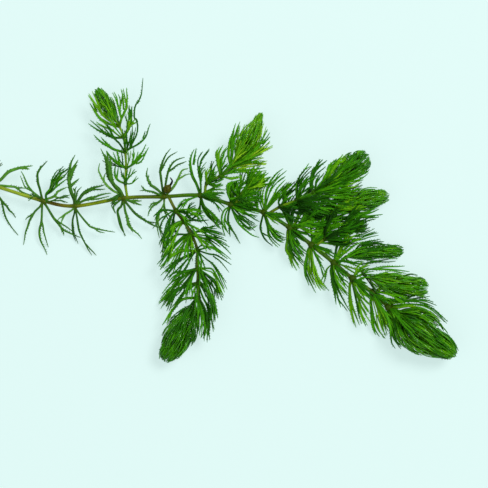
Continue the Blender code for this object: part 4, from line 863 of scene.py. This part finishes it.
class Shape:
    """The points and faces of one mesh, and what its surface knows about each point.

    Share runs from 0 at a leaf's root to 1 at its tip, and tone from 0, old and dark, to 1,
    young and bright. On a stem, share runs from its foot to its bud, and tone is 1 at a node.
    Grain is a place on the skin: two parts round it and one along it.
    """

    def __init__(self):
        self.points = []
        self.faces = []
        self.shares = []
        self.tones = []
        self.grains = []
        self.count = 0

    def add_rings(self, rings, shares, tones, grains, tip=None):
        """Skin over rings of points, closed flat at the start and by a point or flat at the end."""
        number, sides = rings.shape[:2]
        corners = self.count + np.arange(number * sides).reshape(number, sides)
        around = np.roll(corners, -1, axis=1)
        quads = np.stack([corners[:-1], around[:-1], around[1:], corners[1:]], axis=-1)
        self.faces.extend(quads.reshape(-1, 4).tolist())
        self.faces.append(corners[0, ::-1].tolist())
        self.points.append(rings.reshape(-1, 3))
        self.shares.append(np.repeat(shares, sides))
        self.tones.append(np.repeat(tones, sides))
        self.grains.append(grains.reshape(-1, 3))
        self.count += number * sides
        if tip is None:
            self.faces.append(corners[-1].tolist())
            return
        self.faces.extend([[a, b, self.count] for a, b in zip(corners[-1], around[-1])])
        self.points.append(tip[None, :])
        self.shares.append(shares[-1:])
        self.tones.append(tones[-1:])
        self.grains.append(grains[-1, :1])
        self.count += 1

    def add_tube(self, path, halves, hint, shares, tones, sides, flatness=1.0, start=0.0,
                 ridges=1.0, pointed=True):
        """A tube along a path, wider along the hint than across it, pointed or cut flat."""
        angles = ring_angles(sides)
        ridges = np.broadcast_to(ridges, (len(path), sides))
        along = headings(path)
        side = hint
        rings = []
        for centre, heading, half, ridge in zip(path, along, halves, ridges):
            side = unit(side - side.dot(heading) * heading)
            thick = np.cross(heading, side) * flatness
            circle = np.outer(np.cos(angles) * ridge, side) + np.outer(np.sin(angles) * ridge, thick)
            rings.append(centre + half * circle)
        grains = np.empty((len(path), sides, 3))
        grains[:, :, 0] = np.cos(angles)
        grains[:, :, 1] = np.sin(angles)
        grains[:, :, 2] = start + lengths_along(path)[:, None] / MM
        tip = path[-1] + along[-1] * halves[-1] * TIP_LENGTH if pointed else None
        shares, tones = (np.broadcast_to(values, len(path)) for values in (shares, tones))
        self.add_rings(np.array(rings), shares, tones, grains, tip)

    def add_blade(self, path, halves, side, shares, tone, rng):
        """A stretch of leaf, with a place of its own on the skin pattern."""
        start = rng.uniform(*GRAIN_START)
        self.add_tube(path, halves, side, shares, tone, LEAF_SIDES, LEAF_FLATNESS, start)

    def add_tooth(self, root, heading, out, length, half, share, tone):
        """A small spine that leans towards the leaf's tip."""
        foot = heading * half * TOOTH_FOOT
        wide = np.cross(heading, out) * half
        ring = np.array([[root - foot, root + wide, root + foot, root - wide]])
        tip = root + unit(out * TOOTH_OUT + heading * TOOTH_AHEAD) * length
        self.add_rings(ring, np.array([share]), np.array([tone]), np.zeros((1, 4, 3)), tip)

    def mesh(self, name):
        """The finished mesh, with no point below the floor."""
        made = bpy.data.meshes.new(name)
        points = np.concatenate(self.points)
        points[:, 2] = np.maximum(points[:, 2], FLOOR_CONTACT)
        made.from_pydata(points, [], self.faces)
        for key, values in {"share": self.shares, "tone": self.tones}.items():
            stored = made.attributes.new(key, "FLOAT", "POINT")
            stored.data.foreach_set("value", np.concatenate(values).astype(np.float32))
        stored = made.attributes.new("grain", "FLOAT_VECTOR", "POINT")
        stored.data.foreach_set("vector", np.concatenate(self.grains).astype(np.float32).ravel())
        made.shade_smooth()
        return made


def settled(point, node_height):
    """Where a point of a leaf comes to lie: pressed down above its node, on the floor below."""
    rise = point[2] - node_height
    if rise > 0:
        height = node_height + UP_SQUASH * rise
    else:
        room = node_height - FLOOR_GAP
        height = node_height - room * math.tanh(-rise / room)
    return np.array([point[0], point[1], height])


def grown_leaf(node, along, turn, length, lean_base, lean_tip):
    """Centreline of a leaf that bends towards the shoot's tip, with angles in degrees."""
    outwards = turned_out(along, math.radians(turn))
    points = [node]
    for step in range(LEAF_STEPS):
        share = ((step + 0.5) / LEAF_STEPS) ** BEND_POWER
        lean = math.radians(between((lean_base, lean_tip), share))
        heading = math.sin(lean) * outwards + math.cos(lean) * along
        points.append(points[-1] + heading * length * MM / LEAF_STEPS)
    return np.array([settled(point, node[2]) for point in points])


def open_leaf(node, plan, rise):
    """Centreline of a leaf whose plan is given, from its node to its tip."""
    corners = [node, *plan_places(plan)]
    run = lengths_along(np.array(corners)[:, :2])
    for corner, share in zip(corners[1:], run[1:] / run[-1]):
        corner[2] = node[2] + rise * MM * share**RISE_POWER
    return lifted(smooth_path(corners, PLAN_STEPS), FLOOR_GAP)


def side_tine(spine, plan):
    """A tine whose plan is given, with the heights of the leaf beside it."""
    spots = plan_places(plan)
    for spot in spots:
        nearest = np.linalg.norm(spine[:, :2] - spot[:2], axis=1).argmin()
        spot[2] = spine[nearest, 2]
    return smooth_path(spots, PLAN_STEPS)


def part_ways(path, side, spread):
    """A path that leaves another one sideways and slowly draws away from it."""
    return moved_aside(path, side, spread * np.linspace(0, 1, len(path)) ** SPREAD_POWER)


def crooked(path, side, rng):
    """A path that wanders a little to either side after its start."""
    bends = [0.0] + [rng.uniform(-CROOK, CROOK) for _ in range(len(path) // CROOK_POINTS)]
    away = np.interp(np.linspace(0, len(bends) - 1, len(path)), range(len(bends)), bends)
    return moved_aside(path, side, away)


def add_tine(shape, path, first_half, span, side, tone, rng):
    """One tine with its teeth, which stand on its outer edge."""
    halves = between((first_half, TIP_HALF), np.linspace(0, 1, len(path)) ** 2)
    path = lifted(crooked(path, side, rng), first_half)
    shares = np.linspace(*span, len(path))
    shape.add_blade(path, halves, side, shares, tone, rng)
    run = lengths_along(path)
    ahead = headings(path)
    spot = TOOTH_SPACING * rng.uniform(*FIRST_TOOTH)
    while spot < run[-1] * TEETH_END:
        at = int(np.searchsorted(run, spot))
        back = (run[at] - spot) / (run[at] - run[at - 1])
        out = unit(side - side.dot(ahead[at]) * ahead[at])
        length = rng.uniform(*TOOTH_LENGTH)
        root = between((path[at], path[at - 1]), back) + out * halves[at] * TOOTH_DEPTH
        shape.add_tooth(root, ahead[at], out, length, halves[at] * TOOTH_HALF, shares[at], tone)
        spot += TOOTH_SPACING * rng.uniform(*TOOTH_GAPS)


def add_leaf(shape, spine, rng, tone, size, tines=()):
    """A leaf that forks once or twice into fine toothed tines."""
    fork = rng.uniform(*FIRST_FORK)
    count = len(ROOT_WIDTHS)
    root = stretch(spine, 0.0, fork + FORK_OVERLAP, count)
    tilt = rng.uniform(-FORK_TILT, FORK_TILT)
    side = turned_out(headings(spine)[int(fork * len(spine))], tilt)
    half = FORK_HALF * size
    halves = np.array(ROOT_WIDTHS) * ROOT_HALF * size
    shape.add_blade(root, halves, side, np.linspace(0, fork, count), tone, rng)
    if tines:
        path = stretch(spine, fork, 1.0, PLACED_TINE_POINTS)
        add_tine(shape, path, half, (fork, 1.0), side, tone, rng)
        for plan in tines:
            path = side_tine(spine, plan)
            add_tine(shape, path, half * SIDE_TINE_WIDTH, (fork, 1.0), -side, tone, rng)
        return
    for sign in (1, -1):
        end = rng.uniform(*TINE_ENDS)
        path = stretch(spine, fork, end, TINE_POINTS)
        path = part_ways(path, sign * side, rng.uniform(*TINE_SPREAD))
        add_tine(shape, path, half * TINE_WIDTH, (fork, end), sign * side, tone, rng)
        if rng.random() > SECOND_FORK_CHANCE:
            continue
        start = int(rng.uniform(*SECOND_FORK) * len(path))
        branch = stretch(path[start:], 0.0, rng.uniform(*SECOND_TINE_LENGTH), SHORT_TINE_POINTS)
        out = turned_out(headings(branch)[0], tilt + rng.uniform(-SECOND_TILT, SECOND_TILT)) * sign
        branch = part_ways(branch, out, rng.uniform(*TINE_SPREAD))
        add_tine(shape, branch, half * SECOND_TINE_WIDTH, ((fork + end) / 2, end), out, tone, rng)


def stem_direction(path, point):
    """Which way a stem runs where it passes a point."""
    nearest = np.linalg.norm(path - point, axis=1).argmin()
    return headings(path)[nearest]


def fork_point(shoot, stems):
    """Where a side shoot leaves the middle of the main stem, just past its node."""
    node = place(*SHOOTS["main"].nodes[shoot.parent])
    return node + stem_direction(stems["main"], node) * SHOOT_SET_OFF


def stem_path(name, shoot, stems):
    """The middle of a shoot's stem, from its cut or its fork to the base of its bud."""
    start = place(*CUT_END) if name == "main" else fork_point(shoot, stems)
    return smooth_path([start, *places(shoot.nodes), place(*shoot.bud[0])], STEM_STEPS)


def add_knot(shape, node, along, radius, tone, share):
    """The thick ring at a node, where the leaves' roots grow together round the stem."""
    path = np.array([node + spot * KNOT_REACH * radius * along for spot, _ in KNOT_OUTLINE])
    halves = np.array([width * radius for _, width in KNOT_OUTLINE])
    shape.add_tube(path, halves, across_axes(along)[0], share, tone, KNOT_SIDES)


def leaves_between(leaves, chance, rng):
    """Leaves that fill the gaps between placed ones that point much the same way."""
    for first, second in zip(leaves, leaves[1:]):
        alike = unit(first[-1] - first[0]).dot(unit(second[-1] - second[0]))
        share = rng.uniform(*GAP_SHARE)
        if alike > SAME_WAY and rng.random() < chance:
            yield between([stretch(leaf, 0, 1, GAP_LEAF_POINTS) for leaf in (first, second)], share)


def grown_turns(name, shoot, index, placed, node, along):
    """The turns round the stem of the leaves that grow evenly, where no placed leaves stand."""
    rng = random.Random(f"{name} {index}")
    side, _ = across_axes(along)
    taken = {np.sign((place(*plan[-2:]) - node)[:2].dot(side[:2])) for _, _, plan, *_ in placed}
    for k in range(shoot.leaves):
        even = (k + 0.5 * (index % 2)) * 360 / shoot.leaves
        turn = math.radians(even + rng.uniform(-TURN_SCATTER, TURN_SCATTER))
        turn = math.atan2(SIDE_PRESS * math.sin(turn), math.cos(turn))
        if abs(math.cos(turn)) < UPRIGHT or np.sign(math.cos(turn)) not in taken:
            yield math.degrees(turn), rng


def build_whorl(name, shoot, index, piece, stems):
    """One whorl: the knot round the stem and the leaves that stand on it."""
    node = place(*shoot.nodes[index])
    along = stem_direction(stems[name], node)
    forks = random.Random(f"{name} {index} forks")
    share = index / (len(shoot.nodes) - 1)
    tone = between(shoot.tone, share)
    radius = between(shoot.stem_radius, share)
    shape = Shape()
    knot_share = max(0, KNOT_SHADE * (DARK_KNOT - radius))
    add_knot(shape, node, along, radius * between(shoot.knots, share) * MM, tone, knot_share)
    placed = PLACED_LEAVES.get(piece, [])
    leaves = [open_leaf(node, plan, rise) for rise, _, plan, *_ in placed]
    for leaf, (_, size, _, *tines) in zip(leaves, placed):
        add_leaf(shape, leaf, forks, tone + forks.uniform(*TONE_SCATTER), size, tines)
    if index < shoot.bare:
        return shape
    for leaf in leaves_between(leaves, shoot.filled, forks):
        add_leaf(shape, leaf, forks, tone + forks.uniform(*TONE_SCATTER), forks.uniform(*LEAF_SIZES))
    for _ in range(shoot.cover):
        turn = forks.uniform(*COVER_TURN)
        leaf = grown_leaf(node, along, turn, forks.uniform(*COVER_LENGTH), *COVER_LEAN)
        add_leaf(shape, leaf, forks, tone + forks.uniform(*TONE_SCATTER), shoot.thickness)
    for turn, rng in grown_turns(name, shoot, index, placed, node, along):
        length = between(shoot.length, share) * rng.uniform(*LENGTH_SCATTER)
        leans = [between(pair, share) + rng.uniform(-LEAN_SCATTER, LEAN_SCATTER)
                 for pair in (shoot.lean_base, shoot.lean_tip)]
        leaf = grown_leaf(node, along, turn, length, *leans)
        size = forks.uniform(*LEAF_SIZES) * shoot.thickness
        add_leaf(shape, leaf, forks, tone + forks.uniform(*TONE_SCATTER), size)
    return shape


def bud_radii(shoot, shares):
    """A bud's radius along its axis: it swells to its widest place and then closes."""
    widest, blunt = shoot.bud_shape
    quarter = math.pi / 2
    swell = np.sin(quarter * np.clip(shares / widest, 0, 1)) ** BUD_SWELL_POWER
    past = np.clip((shares - widest) / (1 - widest), 0, 1)
    close = np.cos(quarter * past) ** (BUD_CLOSE_POWER * (1 - blunt))
    cap = np.sqrt(1 - np.clip((shares - BUD_CAP[0]) / BUD_CAP[1], 0, 1) ** 2)
    widths = np.where(shares < widest, between((BUD_FOOT, 1), swell), between((blunt, 1), close) * cap)
    return widths * shoot.bud_radius * MM


def bud_leaf(axis, shoot, span, turn, depth, rng):
    """Centreline of a bud's leaf, which arches out from the axis and then runs along its skin."""
    steps = np.linspace(0, 1, BUD_LEAF_STEPS + 1)
    shares = between(span, steps)
    centres = points_at(axis, np.clip(shares, 0, 1))
    ahead = headings(points_at(axis, steps))
    radii = bud_radii(shoot, shares) * depth
    swerve = rng.uniform(-BUD_SWERVE, BUD_SWERVE)
    flare = rng.choice(BUD_FLARES)
    leaf = []
    for t, share, centre, radius in zip(steps, shares, centres, radii):
        heading = ahead[min(BUD_LEAF_STEPS, int(share * BUD_LEAF_STEPS))]
        off_axis = radius * (1 - (1 - t) ** 3) + flare * t**3
        leaf.append(centre + turned_out(heading, turn + swerve * t) * off_axis)
    return lifted(np.array(leaf), FLOOR_GAP)


def add_bud_leaf(shape, leaf, rng, tone):
    """A bud's leaf, which forks once."""
    fork = rng.uniform(*BUD_FORK)
    tilt = rng.uniform(-BUD_FORK_TILT, BUD_FORK_TILT)
    side = turned_out(headings(leaf)[len(leaf) // 2], tilt)
    half = BUD_LEAF_HALF * rng.uniform(*BUD_LEAF_SIZES)
    root = stretch(leaf, 0.0, fork + BUD_FORK_OVERLAP, BUD_ROOT_POINTS)
    shares = np.linspace(0, fork, BUD_ROOT_POINTS)
    shape.add_blade(root, np.full(BUD_ROOT_POINTS, half), side, shares, tone, rng)
    for sign in (1, -1):
        end = rng.uniform(*BUD_TINE_ENDS)
        path = stretch(leaf, fork, end, SHORT_TINE_POINTS)
        path = part_ways(path, sign * side, rng.uniform(*BUD_TINE_SPREAD))
        add_tine(shape, path, half * TINE_WIDTH, (fork, end), sign * side, tone, rng)


def build_bud(name, shoot, stems):
    """The closed end of a shoot: whorls so close together that their leaves lie like scales."""
    shape = Shape()
    rng = random.Random(f"{name} bud")
    bends = places(shoot.bud)
    axis = smooth_path(bends, BUD_STEPS)
    tone = shoot.tone[1]
    if not shoot.nodes:
        stalk = smooth_path([fork_point(shoot, stems), bends[0], axis[STALK_REACH]], PLAN_STEPS)
        halves = np.linspace(*STALK_HALVES, len(stalk))
        shape.add_tube(stalk, halves, level_side(stalk), STALK_SHARE, tone, STALK_SIDES)
    for rise, size, plan, *tines in PLACED_LEAVES.get(f"{name}_bud", []):
        leaf = open_leaf(bends[0], plan, rise)
        add_leaf(shape, leaf, rng, tone + rng.uniform(*TONE_SCATTER), size, tines)
    if shoot.bud_radius < LOOSE_BUD:
        return shape
    core = stretch(axis, 0.0, CORE_END, CORE_POINTS)
    halves = np.linspace(*CORE_HALVES, CORE_POINTS)
    # The core takes the bud leaves' near-black root colour: painted shade inside the bud
    shape.add_tube(core, halves, level_side(core), 0.0, tone * CORE_TONE, STALK_SIDES)
    layers = max(FEWEST_LAYERS, round(lengths_along(axis)[-1] / BUD_LAYER_GAP))
    leaves = round(BUD_LEAVES_TO_MM * shoot.bud_radius) + BUD_LEAVES_MORE
    for layer in range(layers):
        base = LAST_LAYER * (layer / layers) ** LAYER_POWER
        for k in range(leaves):
            scatter = rng.uniform(-BUD_TURN_SCATTER, BUD_TURN_SCATTER)
            turn = 2 * math.pi * (k + 0.5 * (layer % 2) + scatter) / leaves
            end = min(base + rng.uniform(*BUD_LEAF_LENGTH), rng.uniform(*BUD_LEAF_END))
            leaf = bud_leaf(axis, shoot, (base, end), turn, rng.uniform(*BUD_DEPTH), rng)
            add_bud_leaf(shape, leaf, rng, tone + rng.uniform(-BUD_TONE_SCATTER, BUD_TONE_SCATTER))
    return shape


def build_stem(shoot, path):
    """A round ridged stem, thicker at its nodes."""
    run = lengths_along(path)
    nodes = np.array(places(shoot.nodes))
    gaps = np.linalg.norm(path[:, None, :] - nodes[None, :, :], axis=2).min(axis=1)
    halves = between(shoot.stem_radius, run / run[-1]) * MM
    halves = halves * (STEM_THIN + NODE_SWELL * np.exp(-((gaps / NODE_LENGTH) ** 2)))
    tones = np.exp(-((gaps / NODE_COLOUR_LENGTH) ** 2))
    ridges = 1
    for height, number, twist in RIDGES:
        ridges = ridges + height * np.cos(number * ring_angles(STEM_SIDES) + run[:, None] / twist)
    shape = Shape()
    side = level_side(path)
    shape.add_tube(path, halves, side, run / run[-1], tones, STEM_SIDES, ridges=ridges, pointed=False)
    return shape


def build_nut():
    """The fruit: an egg shape with a dark hooked spine on its tip."""
    axis = places(NUT_AXIS)
    shares = np.linspace(0, 1, NUT_POINTS)
    path = points_at(np.array(axis), shares)
    spots, widths = zip(*NUT_OUTLINE)
    halves = np.interp(shares, spots, widths) * NUT_RADIUS
    side = level_side(path)
    shape = Shape()
    shape.add_tube(path, halves, side, shares / 2, NUT_TONE, NUT_SIDES, NUT_FLATNESS)
    hook = smooth_path([axis[1], *places(NUT_SPINE)], PLAN_STEPS)
    halves = np.linspace(*SPINE_HALVES, len(hook))
    shape.add_tube(hook, halves, side, 1.0, 0.0, SPINE_SIDES)
    return shape


def srgb(red, green, blue):
    """A colour for a shader, from its screen values of 0 to 255."""
    values = np.array([red, green, blue]) / 255
    linear = np.where(values > 0.04045, ((values + 0.055) / 1.055) ** 2.4, values / 12.92)
    return (*linear, 1.0)


def connect(tree, node, inputs):
    """Give a shader node's inputs their values or links."""
    for key, value in inputs.items():
        if isinstance(value, bpy.types.NodeSocket):
            tree.links.new(value, node.inputs[key])
        else:
            node.inputs[key].default_value = value


def add_node(tree, kind, inputs, **settings):
    """A shader node with its settings, and with values or links for its inputs."""
    made = tree.nodes.new(kind)
    for key, value in settings.items():
        setattr(made, key, value)
    connect(tree, made, inputs)
    return made


def add_ramp(tree, factor, stops):
    """A run of colours or greys over a factor from 0 to 1."""
    ramp = add_node(tree, "ShaderNodeValToRGB", {"Fac": factor})
    elements = ramp.color_ramp.elements
    while len(elements) < len(stops):
        elements.new(0.5)
    for element, (spot, *colour) in zip(elements, stops):
        element.position = spot
        element.color = srgb(*colour) if len(colour) == 3 else (*colour, *colour, *colour, 1.0)
    return ramp.outputs["Color"]


def add_mix(tree, factor, first, second, blend="MIX"):
    inputs = {0: factor, 6: first, 7: second}
    return add_node(tree, "ShaderNodeMix", inputs, data_type="RGBA", blend_type=blend).outputs[2]


def add_maths(tree, operation, *values):
    inputs = dict(enumerate(values))
    return add_node(tree, "ShaderNodeMath", inputs, operation=operation).outputs[0]


def new_material(name):
    material = bpy.data.materials.new(name)
    material.use_nodes = True
    return material, material.node_tree, material.node_tree.nodes["Principled BSDF"]


def attribute(tree, name, output="Fac"):
    return add_node(tree, "ShaderNodeAttribute", {}, attribute_name=name).outputs[output]


def noise(tree, stretched, scale, detail):
    """Noise over the skin, stretched by three factors: two round it and one along it."""
    grain = attribute(tree, "grain", "Vector")
    mapping = add_node(tree, "ShaderNodeMapping", {"Vector": grain, "Scale": stretched})
    inputs = {"Vector": mapping.outputs["Vector"], "Scale": scale, "Detail": detail}
    return add_node(tree, "ShaderNodeTexNoise", inputs).outputs["Fac"]


def streaked(tree, colour, streaks):
    shade = add_ramp(tree, streaks, STREAK_SHADES)
    return add_mix(tree, STREAK_STRENGTH, colour, shade, "MULTIPLY")


def relief(tree, height, strength, depth):
    inputs = {"Height": height, "Strength": strength, "Distance": depth}
    return add_node(tree, "ShaderNodeBump", inputs).outputs["Normal"]


def leaf_material(name, greens, root_colour_and_shade, root_reach, painted_root_shade, film):
    """Green leaf: dark at the root, partly by a node's own brown and partly by painted shade, brighter
    along the tines, streaked, with wet patches.
    """
    material, tree, shader = new_material(name)
    share = attribute(tree, "share")
    streaks = noise(tree, *LEAF_STREAKS)
    patches = noise(tree, *LEAF_PATCHES)
    tone = add_maths(tree, "MULTIPLY_ADD", patches, PATCH_TONES, attribute(tree, "tone"))
    tone = add_maths(tree, "SUBTRACT", tone, PATCH_TONES / 2)
    green = streaked(tree, add_ramp(tree, tone, greens), streaks)
    # Painted shade: every leaf darkens towards its root, where leaves crowd at the node or lie deep in a
    # bud
    shade = add_ramp(tree, share, [(0.0, painted_root_shade), (PAINTED_SHADE_END, 1.0)])
    green = add_mix(tree, 1.0, green, shade, "MULTIPLY")
    # The root's colour: a node's own brown on whorl leaves, painted shade on a bud's leaves
    root = add_ramp(tree, share, [(0.0, 1.0), (root_reach, 0.0)])
    connect(tree, shader, {
        "Base Color": add_mix(tree, root, green, srgb(*root_colour_and_shade)),
        "Roughness": add_ramp(tree, patches, LEAF_ROUGHNESS),
        "Specular IOR Level": LEAF_GLOSS,
        "Coat Weight": add_ramp(tree, noise(tree, *FILM_PATCHES), film),
        "Coat Roughness": FILM_ROUGHNESS,
        "Normal": relief(tree, streaks, *LEAF_RELIEF),
    })
    return material


def stem_material(name, node_colour, stops):
    """Ridged stem, coloured along its length, darker and browner at its nodes."""
    material, tree, shader = new_material(name)
    streaks = noise(tree, *STEM_STREAKS)
    colour = streaked(tree, add_ramp(tree, attribute(tree, "share"), stops), streaks)
    connect(tree, shader, {
        "Base Color": add_mix(tree, attribute(tree, "tone"), colour, srgb(*node_colour)),
        "Roughness": STEM_ROUGHNESS,
        "Specular IOR Level": BARK_GLOSS,
        "Normal": relief(tree, streaks, *STEM_RELIEF),
    })
    return material


def nut_material():
    """Olive-brown shell with darker mottling, and a nearly black spine."""
    material, tree, shader = new_material("nut_shell")
    mottle = noise(tree, *NUT_SPOTS)
    dark = add_ramp(tree, attribute(tree, "share"), SPINE_SHARES)
    connect(tree, shader, {
        "Base Color": add_mix(tree, dark, add_ramp(tree, mottle, NUT_MOTTLE), srgb(*NUT_SPINE_COLOUR)),
        "Roughness": NUT_ROUGHNESS,
        "Specular IOR Level": BARK_GLOSS,
        "Normal": relief(tree, mottle, *NUT_RELIEF),
    })
    return material


def add_piece(node, shape, material):
    """A finished mesh that stands for the CAD node of the same name."""
    mesh = shape.mesh(f"{node}_look")
    mesh.materials.append(material)
    piece = bpy.data.objects.new(f"{node}_look", mesh)
    bpy.context.scene.collection.objects.link(piece)
    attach(piece, "root")
    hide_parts(node)


def build_sprig():
    """Every piece of the sprig, shoot by shoot, with the main stem first."""
    leaves = {name: leaf_material(name, *look) for name, look in LEAF_LOOKS.items()}
    barks = {name: stem_material(f"{name}_bark", *colours) for name, colours in STEM_LOOKS.items()}
    stems = {}
    for name, shoot in SHOOTS.items():
        if shoot.nodes:
            stems[name] = stem_path(name, shoot, stems)
            bark = barks.get(name, barks["side"])
            add_piece(f"{name}_stem", build_stem(shoot, stems[name]), bark)
        for index in range(len(shoot.nodes)):
            number = f"{index + 1:02d}" if name == "main" else f"{index + 1}"
            node = f"{name}_whorl_{number}"
            material = leaves["old_leaf" if index < shoot.bare else "wet_leaf"]
            add_piece(node, build_whorl(name, shoot, index, node, stems), material)
        add_piece(f"{name}_bud", build_bud(name, shoot, stems), leaves["bud_leaf"])
    add_piece("nut", build_nut(), nut_material())


def add_light(name, spot, size, power):
    """A round soft light that points at the middle of the floor."""
    data = bpy.data.lights.new(name, "AREA")
    data.shape = "DISK"
    data.size = size
    data.energy = power
    light = bpy.data.objects.new(name, data)
    bpy.context.scene.collection.objects.link(light)
    light.location = spot
    aim = -light.location
    light.rotation_euler = aim.to_track_quat("-Z", "Y").to_euler()


def build_stage():
    """A pale floor, soft light from above and a camera that looks straight down."""
    material, tree, shader = new_material("pale_floor")
    connect(tree, shader, {
        "Base Color": srgb(*FLOOR_COLOUR),
        "Roughness": FLOOR_ROUGHNESS,
        "Specular IOR Level": 0.0,
        "Emission Color": srgb(*FLOOR_GLOW),
        "Emission Strength": FLOOR_GLOW_STRENGTH,
    })
    bpy.ops.mesh.primitive_plane_add(size=FLOOR_SIZE)
    floor = bpy.context.object
    floor.name = "floor"
    floor.data.materials.append(material)
    floor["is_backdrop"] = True

    world = bpy.data.worlds.new("pale_room")
    world.use_nodes = True
    background = world.node_tree.nodes["Background"]
    connect(world.node_tree, background, {"Color": ROOM_COLOUR, "Strength": ROOM_STRENGTH})
    bpy.context.scene.world = world
    for name, light in LIGHTS.items():
        add_light(name, *light)

    data = bpy.data.cameras.new("camera")
    data.lens = LENS
    data.sensor_width = SENSOR
    camera = bpy.data.objects.new("camera", data)
    bpy.context.scene.collection.objects.link(camera)
    middle = PICTURE_SQUARES / 2
    distance = PICTURE_SQUARES * GRID * LENS / SENSOR
    camera.location = place(middle, middle, PICTURE_HEIGHT) + (0, 0, distance)
    bpy.context.scene.camera = camera
    bpy.context.scene.view_settings.view_transform = "Standard"


build_sprig()
build_stage()

look_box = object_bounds()
boxes = {"cad": cad_box, "look": look_box}
{key: [list(corner) for corner in box] for key, box in boxes.items()}
